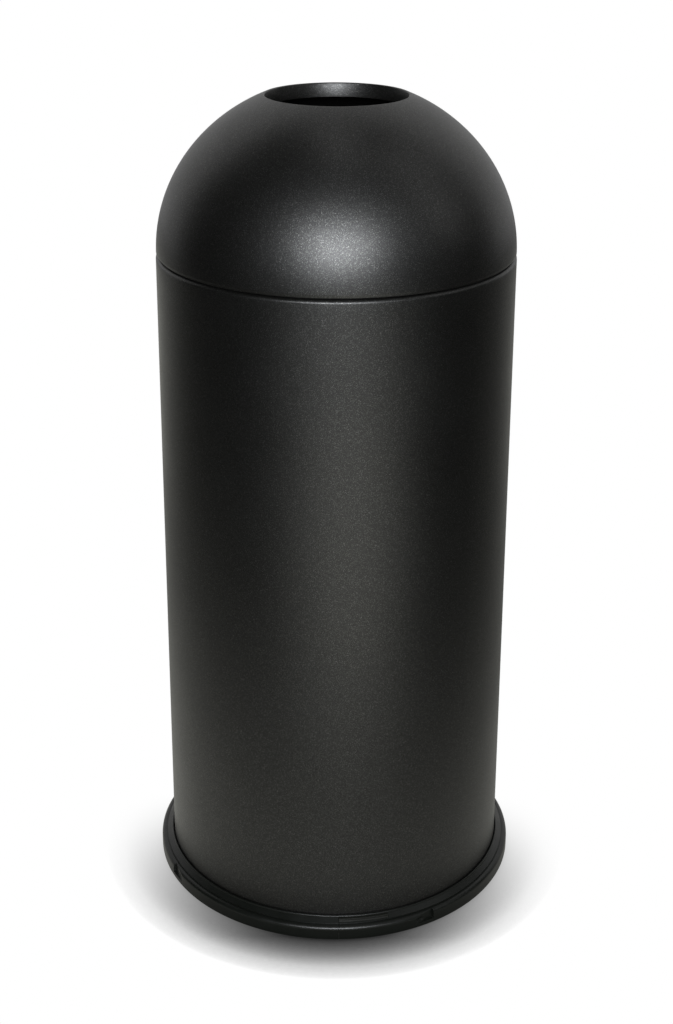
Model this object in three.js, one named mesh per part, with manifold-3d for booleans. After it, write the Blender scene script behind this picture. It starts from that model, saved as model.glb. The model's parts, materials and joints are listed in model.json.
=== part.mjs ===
// Dome top waste receptacle: a steel cylinder on a moulded base ring, with a lift-off dome
// and a galvanised liner that lifts out by its bail. Millimetres, +Z up. The origin is on the
// floor under the middle of the base, and -Y is the front. An azimuth is counted in degrees
// from the front towards +X.
import * as THREE from 'three';
import { mergeVertices } from 'three/addons/utils/BufferGeometryUtils.js';
import Module from 'manifold-3d';

const wasm = await Module();
wasm.setup();

// ---- Driving sizes -------------------------------------------------------------------------

// Body: rolled steel cylinder.
const BODY_RADIUS = 190.5;
const BODY_HEIGHT = 712.3;
const BODY_SHEET = 1.2;
const BODY_CURL_RADIUS = 4;
const BODY_CURL_TURN = 252;
const FOOT_BEND_RADIUS = 3;
const FOOT_FLANGE_WIDTH = 16;
const SEAM_LAP_WIDTH = 13;
const SEAM_LAP_INSET = 14;

// Dome: spun steel.
const DOME_SETBACK = 0.4;
const DOME_REVEAL = 3;
const DOME_SHEET = 1.2;
const DOME_SEMI_HEIGHT = 176.6;
const MOUTH_RADIUS = 74.3;
const MOUTH_LIP_RADIUS = 1.5;
const MOUTH_FLANGE_DEPTH = 14.8;
const MOUTH_FLANGE_DRAFT = 10;
const SKIRT_SHEET = 1.2;
const SKIRT_DEPTH = 16;
const SKIRT_UPSTAND = 9;
const SKIRT_CLEARANCE = 0.8;

// Base ring: moulded, split at the front, hollow underneath.
const RING_OVERHANG = 14.7;
const RING_WALL = 2.6;
const RING_FOOT_WIDTH = 4.5;
const RING_FOOT_HEIGHT = 2.6;
const RING_EDGE = 1;
const RING_SHOULDER_BASE = 11.5;
const RING_SHOULDER_WIDTH = 5.4;
const RING_SHOULDER_HEIGHT = 4.5;
const RING_GROOVE = 1.2;
const RING_LAND_RISE = 6.2;
const RING_BODY_GAP = 0.8;
const SEAT_THICKNESS = 3;
const SEAT_WIDTH = 17;
const RIB_COUNT = 24;
const RIB_THICKNESS = 2;
const SPLIT_AZIMUTH = 1.5;
const SPLIT_WIDTH = 0.8;
const SPLICE_SPAN = 16;
const SPLICE_THICKNESS = 1.2;
const SPLICE_SUNK = 0.9;
const SPLICE_MARGIN = 1.1;
const SPLICE_RIDGE = 0.35;
const POCKET_COUNT = 4;
const POCKET_FIRST_AZIMUTH = 29.2;
const POCKET_SPAN = 6.6;
const POCKET_DEPTH = 3.5;
const POCKET_BACKING_MARGIN = 1;
const POCKET_BACKING_REACH = 2.5;
const POCKET_BOTTOM = 5.2;

// Bottom pan and the screws that hold ring, body and pan together.
const PAN_SHEET = 1.2;
const PAN_RISE = 4;
const PAN_STEP_WIDTH = 5;
const PAN_STEP_MARGIN = 6.9;
const SCREW_COUNT = 4;
const SCREW_FIRST_AZIMUTH = 45;
const SCREW_SHANK_RADIUS = 2;
const SCREW_HEAD_RADIUS = 4.2;
const SCREW_HEAD_HEIGHT = 2.4;
const SCREW_FLOOR_CLEARANCE = 0.7;
const SCREW_STAND_OUT = 3;
const SCREW_HOLE_CLEARANCE = 0.35;

// Liner: galvanised sheet with a wired rim.
const LINER_DROP = 47;
const LINER_SHEET = 0.8;
const LINER_TAPER = 12;
const LINER_BEAD = 2.4;
const LINER_BEAD_CLEARANCE = 3.8;
const LINER_BOTTOM_RISE = 9;
const LINER_BOTTOM_BEND = 3;
const RIM_WIRE_RADIUS = 2;

// Bail, its grip and its ears.
const BAIL_WIRE_RADIUS = 2.5;
const BAIL_BEND_RADIUS = 3;
const BAIL_LIFT_CLEARANCE = 1;
const BAIL_RIM_CLEARANCE = 2;
const GRIP_RADIUS = 4;
const GRIP_HALF_SPAN = 16;
const EAR_SHEET = 1.6;
const EAR_WIDTH = 36;
const EAR_BORDER = 2.5;
const EAR_HUB_RADIUS = 8.5;
const EAR_RIM_CLEARANCE = 0.8;
const EAR_HOLE_CLEARANCE = 0.4;
const RIVET_SPACING = 26;
const RIVET_RADIUS = 1.5;
const RIVET_HEAD_RADIUS = 3;
const RIVET_HEAD_HEIGHT = 1.3;
const RIVET_HOLE_CLEARANCE = 0.3;

// Gap that resting and nested faces keep.
const GAP = 0.3;

// Facets around the revolved shells, around small round pieces, and around and along wire.
const AROUND = 48;
const AROUND_SMALL = 12;
const AROUND_WIRE = 8;
const AROUND_RIM_WIRE = 6;
const BAIL_STEPS = 44;
const BEND_STEPS = 3;
const GRIP_STEPS = 8;

// How near to its axis a faceted shell's flats come, as a share of its radius.
const facetReach = Math.cos(Math.PI / AROUND);

// ---- Places worked out from them -----------------------------------------------------------

const point = (x, y) => new THREE.Vector2(x, y);
const radians = THREE.MathUtils.degToRad;

const ringRadius = BODY_RADIUS + RING_OVERHANG;
const ringInner = BODY_RADIUS + RING_BODY_GAP;
const landEdge = ringRadius - RING_SHOULDER_WIDTH;
const shoulderTop = RING_SHOULDER_BASE + RING_SHOULDER_HEIGHT;
const landTop = shoulderTop + RING_LAND_RISE;
const seatBottom = SCREW_FLOOR_CLEARANCE + SCREW_HEAD_HEIGHT + GAP;
const seatTop = seatBottom + SEAT_THICKNESS;

const bodyInner = BODY_RADIUS - BODY_SHEET;
const bodyFoot = seatTop + GAP;
const bodyTop = bodyFoot + BODY_HEIGHT;
const curlInner = BODY_RADIUS - 2 * BODY_CURL_RADIUS;

const panFoot = bodyFoot + BODY_SHEET + GAP;
const panRadius = BODY_RADIUS - FOOT_BEND_RADIUS - GAP;
const panTop = panFoot + PAN_RISE + PAN_SHEET;
const screwCircle = BODY_RADIUS - FOOT_FLANGE_WIDTH / 2;

const ledgeFoot = bodyTop + GAP;
const domeFoot = ledgeFoot + DOME_REVEAL;
const domeRadius = BODY_RADIUS - DOME_SETBACK;
const skirtAngle = Math.asin((SKIRT_UPSTAND + GAP) / DOME_SEMI_HEIGHT);

const bailRadius = curlInner - BAIL_LIFT_CLEARANCE - GRIP_RADIUS;
const rimCurlRadius = RIM_WIRE_RADIUS + GAP + LINER_SHEET;
const rimOuter = bailRadius - GRIP_RADIUS - BAIL_RIM_CLEARANCE;
const collarInner = rimOuter - 2 * rimCurlRadius;
const collarOuter = collarInner + LINER_SHEET;
const linerFoot = panTop + GAP;
const linerTop = bodyTop - LINER_DROP;
const linerFootInner = collarInner - LINER_TAPER;
const panStepInner = linerFootInner + LINER_SHEET + PAN_STEP_MARGIN;

const earTop = linerTop - 2 * rimCurlRadius - EAR_RIM_CLEARANCE;
const bailPivot = earTop - EAR_BORDER - EAR_HUB_RADIUS;
const earBottom = bailPivot - EAR_HUB_RADIUS - EAR_BORDER;
const beadHeight = earBottom - LINER_BEAD_CLEARANCE - LINER_SHEET - LINER_BEAD;
const bailRest = Math.acos((collarOuter + GAP + GRIP_RADIUS) / bailRadius);
const earInner = collarOuter + GAP;
const hubFace = bailRadius - BAIL_WIRE_RADIUS - GAP;
const hookEnd = collarOuter + EAR_SHEET;

// ---- Helpers: sections, revolved shells, prisms and booleans -------------------------------

/** A place on a circle about the object's axis, seen from above. */
function onCircle(radius, azimuth) {
  const angle = radians(azimuth);
  return point(radius * Math.sin(angle), -radius * Math.cos(angle));
}

/** Points of an elliptical arc, both ends included. Angles in degrees from +r towards +z. */
function arc(centreR, centreZ, radiusR, radiusZ, from, to, steps) {
  return Array.from({ length: steps + 1 }, (_, i) => {
    const angle = radians(from + ((to - from) * i) / steps);
    return point(centreR + radiusR * Math.cos(angle), centreZ + radiusZ * Math.sin(angle));
  });
}

/** Points of a circular arc, both ends included. */
function roundArc(centreR, centreZ, radius, from, to, steps) {
  return arc(centreR, centreZ, radius, radius, from, to, steps);
}

/** Corners of a round section drawn with straight sides. */
function roundSection(radius, sides, centre = point(0, 0)) {
  return roundArc(centre.x, centre.y, radius, 0, 360, sides).slice(1);
}

/** Closed section of a sheet: one face's path, and its offset to the left of the path. */
function sheetSection(path, thickness) {
  const direction = (i) => path[i + 1].clone().sub(path[i]).normalize();
  const offset = path.map((corner, i) => {
    const before = direction(Math.max(i - 1, 0));
    const after = direction(Math.min(i, path.length - 2));
    const across = before.clone().add(after).normalize();
    const normal = point(-across.y, across.x);
    const reach = thickness / (normal.x * -before.y + normal.y * before.x);
    return corner.clone().addScaledVector(normal, reach);
  });
  return [...path, ...offset.reverse()];
}

/** Solid of revolution of a closed section (r, z) about the object's axis. */
function revolve(section, segments = AROUND) {
  const outline = THREE.ShapeUtils.area(section) > 0 ? section : [...section].reverse();
  const first = outline[0];
  const last = outline[outline.length - 1];
  const endsOnAxis = Math.abs(first.x) + Math.abs(last.x) < 1e-6;
  const points = endsOnAxis ? outline : [...outline, first.clone()];
  return new THREE.LatheGeometry(points, segments).rotateX(Math.PI / 2);
}

/** Upright prism of an outline seen from above. */
function prism(outline, bottom, top) {
  const shape = new THREE.Shape(outline);
  const geometry = new THREE.ExtrudeGeometry(shape, { depth: top - bottom, bevelEnabled: false });
  return geometry.translate(0, 0, bottom);
}

/** Upright prism of a stretch of a flat ring, between two azimuths. */
function ringPrism(inner, outer, from, to, bottom, top, steps) {
  const along = Array.from({ length: steps + 1 }, (_, i) => from + ((to - from) * i) / steps);
  const outerSide = along.map((azimuth) => onCircle(outer, azimuth));
  const innerSide = along.map((azimuth) => onCircle(inner, azimuth)).reverse();
  return prism([...outerSide, ...innerSide], bottom, top);
}

/** Upright round bar standing at a place seen from above. */
function post(radius, bottom, top, place, sides = AROUND_SMALL) {
  const geometry = new THREE.CylinderGeometry(radius, radius, top - bottom, sides);
  return geometry.rotateX(Math.PI / 2).translate(place.x, place.y, (bottom + top) / 2);
}

/** Round bar along X at a height. */
function barAlongX(radius, from, to, height, sides = AROUND_SMALL) {
  const geometry = new THREE.CylinderGeometry(radius, radius, to - from, sides);
  return geometry.rotateZ(Math.PI / 2).translate((from + to) / 2, 0, height);
}

/** Closed mesh as a solid for joining and cutting. */
function toSolid(geometry) {
  const bare = geometry.clone();
  bare.deleteAttribute('normal');
  bare.deleteAttribute('uv');
  const merged = mergeVertices(bare, 1e-4);
  const corners = merged.index.array;
  const kept = [];
  for (let i = 0; i < corners.length; i += 3) {
    const [a, b, c] = [corners[i], corners[i + 1], corners[i + 2]];
    if (a !== b && b !== c && c !== a) kept.push(a, b, c);
  }
  const vertProperties = new Float32Array(merged.attributes.position.array);
  const triVerts = new Uint32Array(kept);
  return new wasm.Manifold(new wasm.Mesh({ numProp: 3, vertProperties, triVerts }));
}

/** Mesh of a joined or cut solid. */
function toGeometry(solid) {
  const mesh = solid.getMesh();
  const positions = new THREE.BufferAttribute(new Float32Array(mesh.vertProperties), 3);
  const geometry = new THREE.BufferGeometry();
  geometry.setAttribute('position', positions);
  geometry.setIndex(new THREE.BufferAttribute(new Uint32Array(mesh.triVerts), 1));
  geometry.computeVertexNormals();
  return geometry;
}

/** The stretch of a revolved section between two azimuths, as a solid. */
function revolvedStretch(section, from, to, bottom, top) {
  const reach = 2 * ringRadius;
  const wedge = [point(0, 0), onCircle(reach, from), onCircle(reach, to)];
  return toSolid(revolve(section)).intersect(toSolid(prism(wedge, bottom, top)));
}

/** Evenly spaced azimuths around the object. */
function azimuths(count, first) {
  return Array.from({ length: count }, (_, i) => first + (360 * i) / count);
}

// ---- Finishes ------------------------------------------------------------------------------

const finishes = {
  powderCoat: { color: 0x2b2b29, roughness: 0.55, metalness: 0.2 },
  mouldedPlastic: { color: 0x1d1e1d, roughness: 0.35, metalness: 0 },
  galvanised: { color: 0xa9adae, roughness: 0.4, metalness: 0.9 },
  brightSteel: { color: 0xb9babb, roughness: 0.3, metalness: 1 },
  vinyl: { color: 0x232323, roughness: 0.6, metalness: 0 },
};

/** Named mesh with a material of its own. */
function piece(name, geometry, finish) {
  const mesh = new THREE.Mesh(geometry, new THREE.MeshStandardMaterial(finishes[finish]));
  mesh.name = name;
  return mesh;
}

// ---- Base ring -----------------------------------------------------------------------------

const landLine = point(ringInner, landTop).sub(point(landEdge, shoulderTop));
const landLength = landLine.length();
const landSlope = landLine.clone().normalize();
const landNormal = point(landSlope.y, -landSlope.x);

/** A place on the sloping land, counted from its outer edge up towards the body. */
function onLand(distance, height = 0) {
  return point(landEdge, shoulderTop)
    .addScaledVector(landSlope, distance)
    .addScaledVector(landNormal, height);
}

/** Hollow moulded section: wall, rounded shoulder, groove, sloping land, inner wall and seat. */
function ringSection() {
  const seatInner = ringInner - SEAT_WIDTH;
  const channelInner = ringInner + RING_WALL;
  const channelOuter = ringRadius - RING_WALL;
  const landUnderside = onLand(landLength - RING_WALL, -RING_WALL).y;
  return [
    point(ringRadius - RING_FOOT_WIDTH, 0),
    point(ringRadius - RING_EDGE, 0),
    point(ringRadius, RING_EDGE),
    ...arc(landEdge, RING_SHOULDER_BASE, RING_SHOULDER_WIDTH, RING_SHOULDER_HEIGHT, 0, 90, 4),
    onLand(RING_GROOVE / 2, -RING_GROOVE / 2),
    onLand(RING_GROOVE),
    onLand(landLength - RING_EDGE),
    point(ringInner, landTop - RING_EDGE),
    point(ringInner, seatTop),
    point(seatInner, seatTop),
    point(seatInner, seatBottom),
    point(channelInner, seatBottom),
    point(channelInner, landUnderside),
    point(landEdge - RING_GROOVE, shoulderTop - RING_GROOVE - RING_WALL),
    point(channelOuter, RING_SHOULDER_BASE - RING_EDGE),
    point(channelOuter, RING_FOOT_HEIGHT + RING_FOOT_WIDTH - RING_WALL),
    point(ringRadius - RING_FOOT_WIDTH, RING_FOOT_HEIGHT),
  ];
}

/** Radial stiffening rib across the hollow underside. */
function rib(azimuth) {
  const inner = ringInner + RING_WALL / 2;
  const outer = ringRadius - RING_WALL / 2;
  const bottom = seatBottom + RING_EDGE / 2;
  const box = new THREE.BoxGeometry(RIB_THICKNESS, outer - inner, RING_SHOULDER_BASE - bottom);
  box.translate(0, -(inner + outer) / 2, (RING_SHOULDER_BASE + bottom) / 2);
  return toSolid(box.rotateZ(radians(azimuth)));
}

/** Block behind a pocket, and the ramp cut down through the shoulder: deepest at one end. */
function pocket(azimuth, deepSide) {
  const halfSpan = POCKET_SPAN / 2;
  const margin = RING_WALL / 2;
  const backing = ringPrism(
    ringRadius - POCKET_DEPTH - 2 * RING_WALL,
    ringRadius - margin,
    azimuth - halfSpan - POCKET_BACKING_MARGIN,
    azimuth + halfSpan + POCKET_BACKING_MARGIN,
    POCKET_BOTTOM - margin,
    RING_SHOULDER_BASE + POCKET_BACKING_REACH,
    4,
  );
  const shallow = azimuth - deepSide * halfSpan;
  const deep = azimuth + deepSide * halfSpan;
  const ramp = [
    onCircle(ringRadius, shallow),
    onCircle(ringRadius - POCKET_DEPTH, deep),
    onCircle(ringRadius + POCKET_DEPTH, deep),
    onCircle(ringRadius + POCKET_DEPTH, shallow),
  ];
  const cut = prism(ramp, POCKET_BOTTOM, shoulderTop + RING_EDGE);
  return { backing: toSolid(backing), cut: toSolid(cut) };
}

/** Section of the splice on the land, with two fine ridges along it; grow widens it all round. */
function spliceSection(grow, ridge) {
  const outer = RING_GROOVE + SPLICE_MARGIN - grow;
  const inner = landLength - RING_EDGE - SPLICE_MARGIN + grow;
  const bottom = -SPLICE_SUNK - grow;
  const top = SPLICE_THICKNESS - SPLICE_SUNK + grow;
  const third = (inner - outer) / 3;
  const face = [outer, outer + third, outer + 1.5 * third, outer + 2 * third, inner];
  const rise = [0, ridge, 0, ridge, 0];
  return [onLand(outer, bottom), ...face.map((at, i) => onLand(at, top + rise[i])), onLand(inner, bottom)];
}

function spliceStretch(grow, ridge, from, to) {
  return revolvedStretch(spliceSection(grow, ridge), from, to, seatTop, landTop + 2 * SPLICE_THICKNESS);
}

function makeBaseRing() {
  let ring = toSolid(revolve(ringSection()));
  azimuths(RIB_COUNT, 180 / RIB_COUNT).forEach((azimuth) => {
    ring = ring.add(rib(azimuth));
  });
  azimuths(POCKET_COUNT, POCKET_FIRST_AZIMUTH).forEach((azimuth, i) => {
    const { backing, cut } = pocket(azimuth, i % 2 === 0 ? 1 : -1);
    ring = ring.add(backing).subtract(cut);
  });
  azimuths(SCREW_COUNT, SCREW_FIRST_AZIMUTH).forEach((azimuth) => {
    ring = ring.subtract(screwHole(azimuth));
  });
  const splitDepth = SEAT_WIDTH + RING_OVERHANG + 2 * RING_WALL;
  const split = new THREE.BoxGeometry(SPLIT_WIDTH, splitDepth, 2 * (landTop + RING_WALL));
  split.translate(0, splitDepth / 2 - ringRadius - RING_WALL, 0).rotateZ(radians(SPLIT_AZIMUTH));
  const recessEnd = SPLIT_AZIMUTH + SPLICE_SPAN + THREE.MathUtils.radToDeg(2 * GAP / ringRadius);
  const recess = spliceStretch(GAP, 0, SPLIT_AZIMUTH, recessEnd);
  return toGeometry(ring.subtract(toSolid(split)).subtract(recess));
}

function makeRingSplice() {
  const start = SPLIT_AZIMUTH + THREE.MathUtils.radToDeg(SPLIT_WIDTH / 2 / ringRadius);
  return toGeometry(spliceStretch(0, SPLICE_RIDGE, start, SPLIT_AZIMUTH + SPLICE_SPAN));
}

// ---- Body, bottom pan and base screws ------------------------------------------------------

function screwHole(azimuth) {
  const radius = SCREW_SHANK_RADIUS + SCREW_HOLE_CLEARANCE;
  return toSolid(post(radius, 0, panTop + SCREW_STAND_OUT, onCircle(screwCircle, azimuth)));
}

function cutScrewHoles(solid) {
  return azimuths(SCREW_COUNT, SCREW_FIRST_AZIMUTH).reduce(
    (rest, azimuth) => rest.subtract(screwHole(azimuth)),
    solid,
  );
}

/** Cylinder with a foot flange turned in, a top edge curled inwards and a seam at the back. */
function makeBodyShell() {
  const bend = FOOT_BEND_RADIUS;
  const curl = BODY_CURL_RADIUS;
  const path = [
    point(BODY_RADIUS - FOOT_FLANGE_WIDTH, bodyFoot),
    ...roundArc(BODY_RADIUS - bend, bodyFoot + bend, bend, -90, 0, 2),
    ...roundArc(BODY_RADIUS - curl, bodyTop - curl, curl, 0, BODY_CURL_TURN, 7),
  ];
  const shell = toSolid(revolve(sheetSection(path, BODY_SHEET)));
  const halfLap = THREE.MathUtils.radToDeg(SEAM_LAP_WIDTH / 2 / BODY_RADIUS);
  const lap = ringPrism(
    bodyInner - BODY_SHEET,
    bodyInner + BODY_SHEET / 2,
    180 - halfLap,
    180 + halfLap,
    bodyFoot + SEAM_LAP_INSET,
    bodyTop - SEAM_LAP_INSET,
    2,
  );
  return toGeometry(cutScrewHoles(shell.add(toSolid(lap))));
}

/** Pressed disc whose raised middle carries the liner. */
function makeBottomPan() {
  const underside = [
    point(0, panFoot + PAN_RISE),
    point(panStepInner, panFoot + PAN_RISE),
    point(panStepInner + PAN_STEP_WIDTH, panFoot),
    point(panRadius, panFoot),
  ];
  return toGeometry(cutScrewHoles(toSolid(revolve(sheetSection(underside, PAN_SHEET)))));
}

/** Pan-head screw, driven up from below. */
function makeBaseScrew() {
  const headBottom = SCREW_FLOOR_CLEARANCE;
  const headTop = headBottom + SCREW_HEAD_HEIGHT;
  const tip = panFoot + PAN_SHEET + SCREW_STAND_OUT;
  const round = SCREW_HEAD_HEIGHT / 3;
  return revolve([
    point(0, headBottom),
    point(SCREW_HEAD_RADIUS - round, headBottom),
    point(SCREW_HEAD_RADIUS, headBottom + round),
    point(SCREW_HEAD_RADIUS, headTop),
    point(SCREW_SHANK_RADIUS, headTop),
    point(SCREW_SHANK_RADIUS, tip - SCREW_SHANK_RADIUS),
    point(0, tip),
  ], AROUND_SMALL);
}

// ---- Dome ----------------------------------------------------------------------------------

/** Angle at which the ellipse's inward normal, as long as the lip's radius, ends over the lip's centre. */
function lipAngle() {
  const centre = MOUTH_RADIUS + MOUTH_LIP_RADIUS;
  const closeEnough = 1e-9;
  let low = 0;
  let high = Math.PI / 2;
  while (high - low > closeEnough) {
    const angle = (low + high) / 2;
    const normal = point(Math.cos(angle) / domeRadius, Math.sin(angle) / DOME_SEMI_HEIGHT).normalize();
    if (domeRadius * Math.cos(angle) - MOUTH_LIP_RADIUS * normal.x > centre) low = angle;
    else high = angle;
  }
  return (low + high) / 2;
}

/** Spun dome: an ellipse up to the mouth, a rounded lip and a slightly tapered flange inside it. */
function makeDomeShell() {
  const end = lipAngle();
  const normal = point(Math.cos(end) / domeRadius, Math.sin(end) / DOME_SEMI_HEIGHT).normalize();
  const lipHeight = domeFoot + DOME_SEMI_HEIGHT * Math.sin(end) - MOUTH_LIP_RADIUS * normal.y;
  const lipStart = THREE.MathUtils.radToDeg(normal.angle());
  const [edgeEnd, crownEnd] = [skirtAngle, end].map(THREE.MathUtils.radToDeg);
  const edge = arc(0, domeFoot, domeRadius, DOME_SEMI_HEIGHT, 0, edgeEnd, 1);
  const crown = arc(0, domeFoot, domeRadius, DOME_SEMI_HEIGHT, edgeEnd, crownEnd, 9);
  const [lipRadius, lipEnd] = [MOUTH_LIP_RADIUS, 180 - MOUTH_FLANGE_DRAFT];
  const lip = roundArc(MOUTH_RADIUS + lipRadius, lipHeight, lipRadius, lipStart, lipEnd, 3);
  const drop = MOUTH_FLANGE_DEPTH - MOUTH_LIP_RADIUS;
  const taper = drop * Math.tan(radians(MOUTH_FLANGE_DRAFT));
  const flangeEnd = point(MOUTH_RADIUS - taper, lipHeight - drop);
  return revolve(sheetSection([...edge, ...crown.slice(1), ...lip.slice(1), flangeEnd], DOME_SHEET));
}

/** Locating ring: welded inside the dome's edge, its ledge rests on the body's curl. */
function makeDomeSkirt() {
  const upstandTop = domeFoot + SKIRT_UPSTAND;
  const upstandRadius = domeRadius * Math.cos(skirtAngle) - DOME_SHEET - GAP;
  const legRadius = curlInner - SKIRT_CLEARANCE;
  const path = [
    point(upstandRadius, upstandTop),
    point(upstandRadius, ledgeFoot),
    point(legRadius, ledgeFoot),
    point(legRadius, ledgeFoot - SKIRT_DEPTH),
  ];
  return revolve(sheetSection(path, -SKIRT_SHEET));
}

// ---- Liner ---------------------------------------------------------------------------------

const rivetTurn = THREE.MathUtils.radToDeg(RIVET_SPACING / 2 / collarOuter);

/** Turned bar through collar and ear where a rivet goes. */
function rivetHole(azimuth) {
  const radius = RIVET_RADIUS + RIVET_HOLE_CLEARANCE;
  const bar = barAlongX(radius, collarInner - RIVET_HEAD_RADIUS, earInner + 2 * EAR_SHEET, bailPivot);
  return toSolid(bar.rotateZ(radians(azimuth)));
}

/** Tapered wall with a swaged bead, a straight collar and a rim rolled out round its wire. */
function makeLinerWall() {
  const innerFace = [
    point(linerFootInner, linerFoot),
    ...roundArc(collarInner, beadHeight, LINER_BEAD, -90, 90, 3),
    ...roundArc(collarInner + rimCurlRadius, linerTop - rimCurlRadius, rimCurlRadius, 180, -90, 6),
  ];
  const wall = toSolid(revolve(sheetSection(innerFace, -LINER_SHEET)));
  const holes = [rivetTurn, -rivetTurn, 180 + rivetTurn, 180 - rivetTurn].map(rivetHole);
  return toGeometry(holes.reduce((rest, hole) => rest.subtract(hole), wall));
}

/** Pressed bottom whose flange turns down inside the wall's foot. */
function makeLinerBottom() {
  const flange = linerFootInner - GAP - LINER_SHEET;
  const floor = linerFoot + LINER_BOTTOM_RISE;
  const bend = LINER_BOTTOM_BEND;
  return revolve(sheetSection([
    point(0, floor),
    ...roundArc(flange - bend, floor - bend, bend, 90, 0, 2),
    point(flange, linerFoot),
  ], LINER_SHEET));
}

function makeRimWire() {
  const centre = point(collarInner + rimCurlRadius, linerTop - rimCurlRadius);
  return revolve(roundSection(RIM_WIRE_RADIUS, AROUND_RIM_WIRE, centre));
}

/** Pressed ear on the +X side: curved plate with a raised hub that the bail hooks into. */
function makeBailEar() {
  const halfTurn = THREE.MathUtils.radToDeg(EAR_WIDTH / 2 / collarOuter);
  const earOuter = earInner + EAR_SHEET;
  const plate = ringPrism(earInner, earOuter, 90 - halfTurn, 90 + halfTurn, earBottom, earTop, 6);
  const hub = barAlongX(EAR_HUB_RADIUS, earInner + EAR_SHEET / 4, hubFace, bailPivot);
  const hollow = barAlongX(EAR_HUB_RADIUS - EAR_SHEET, collarInner, hubFace - EAR_SHEET, bailPivot);
  const hole = barAlongX(BAIL_WIRE_RADIUS + EAR_HOLE_CLEARANCE, collarInner, bailRadius, bailPivot);
  const ear = toSolid(plate).add(toSolid(hub)).subtract(toSolid(hollow)).subtract(toSolid(hole));
  return toGeometry(ear.subtract(rivetHole(rivetTurn)).subtract(rivetHole(-rivetTurn)));
}

/** Rivet along +X at the pivot's height, with a head on either side of collar and ear. */
function makeEarRivet() {
  const outerSeat = earInner + EAR_SHEET + GAP;
  const innerSeat = collarInner * facetReach - GAP;
  const domeEdge = RIVET_HEAD_RADIUS / 2;
  const section = [
    point(0, innerSeat - RIVET_HEAD_HEIGHT),
    point(RIVET_HEAD_RADIUS, innerSeat - RIVET_HEAD_HEIGHT),
    point(RIVET_HEAD_RADIUS, innerSeat),
    point(RIVET_RADIUS, innerSeat),
    point(RIVET_RADIUS, outerSeat),
    point(RIVET_HEAD_RADIUS, outerSeat),
    point(domeEdge, outerSeat + RIVET_HEAD_HEIGHT),
    point(0, outerSeat + RIVET_HEAD_HEIGHT),
  ];
  return revolve(section, AROUND_SMALL).rotateY(Math.PI / 2).translate(0, 0, bailPivot);
}

// ---- Bail ----------------------------------------------------------------------------------

/** Centre line of the bail, lying flat: hook, bend, half circle, bend, hook. */
class BailLine extends THREE.Curve {
  constructor() {
    super();
    const bendAngle = BAIL_BEND_RADIUS / bailRadius;
    const bendX = bailRadius - BAIL_BEND_RADIUS;
    const bend = roundArc(bendX, -BAIL_BEND_RADIUS, BAIL_BEND_RADIUS, 90, 0, BEND_STEPS);
    const from = -THREE.MathUtils.radToDeg(bendAngle);
    const half = roundArc(0, 0, bailRadius, from, -90, BAIL_STEPS / 2).slice(1);
    const right = [point(hookEnd, 0), ...bend, ...half];
    const left = right.slice(0, -1).reverse().map((p) => point(-p.x, p.y));
    this.corners = [...right, ...left].map((p) => new THREE.Vector3(p.x, p.y, 0));
  }

  /** Corner to corner at even steps, so that every bend keeps its own steps. */
  getPoint(t, target = new THREE.Vector3()) {
    const place = t * (this.corners.length - 1);
    const index = Math.min(Math.floor(place), this.corners.length - 2);
    return target.lerpVectors(this.corners[index], this.corners[index + 1], place - index);
  }

  getUtoTmapping(u) {
    return u;
  }
}

/** Middle stretch of the bail's half circle. */
class GripLine extends THREE.Curve {
  getPoint(t, target = new THREE.Vector3()) {
    const place = onCircle(bailRadius, GRIP_HALF_SPAN * (1 - 2 * t));
    return target.set(place.x, place.y, 0);
  }
}

function makeBailWire() {
  const line = new BailLine();
  const section = new THREE.Shape(roundSection(BAIL_WIRE_RADIUS, AROUND_WIRE));
  const options = { extrudePath: line, steps: line.corners.length - 1, bevelEnabled: false };
  return new THREE.ExtrudeGeometry(section, options);
}

function makeBailGrip() {
  const sleeve = new THREE.Shape(roundSection(GRIP_RADIUS, AROUND_SMALL));
  sleeve.holes.push(new THREE.Path(roundSection(BAIL_WIRE_RADIUS + GAP, AROUND_SMALL)));
  const options = { extrudePath: new GripLine(), steps: GRIP_STEPS, bevelEnabled: false };
  return new THREE.ExtrudeGeometry(sleeve, options);
}

// ---- Assembly ------------------------------------------------------------------------------

const receptacle = new THREE.Group();

function addBase() {
  receptacle.add(piece('base_ring', makeBaseRing(), 'mouldedPlastic'));
  receptacle.add(piece('ring_splice', makeRingSplice(), 'mouldedPlastic'));
  receptacle.add(piece('bottom_pan', makeBottomPan(), 'powderCoat'));
  receptacle.add(piece('body_shell', makeBodyShell(), 'powderCoat'));
  azimuths(SCREW_COUNT, SCREW_FIRST_AZIMUTH).forEach((azimuth, i) => {
    const screw = piece(`base_screw_${i + 1}`, makeBaseScrew(), 'brightSteel');
    const place = onCircle(screwCircle, azimuth);
    screw.position.set(place.x, place.y, 0);
    receptacle.add(screw);
  });
}

function addLiner() {
  receptacle.add(piece('liner_wall', makeLinerWall(), 'galvanised'));
  receptacle.add(piece('liner_bottom', makeLinerBottom(), 'galvanised'));
  receptacle.add(piece('liner_rim_wire', makeRimWire(), 'brightSteel'));
  ['right', 'left'].forEach((side, i) => {
    const earSide = new THREE.Group();
    earSide.rotation.z = i * Math.PI;
    earSide.add(piece(`bail_ear_${side}`, makeBailEar(), 'galvanised'));
    [1, -1].forEach((turn, j) => {
      const rivet = piece(`ear_rivet_${2 * i + j + 1}`, makeEarRivet(), 'brightSteel');
      rivet.rotation.z = radians(turn * rivetTurn);
      earSide.add(rivet);
    });
    receptacle.add(earSide);
  });
}

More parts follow.
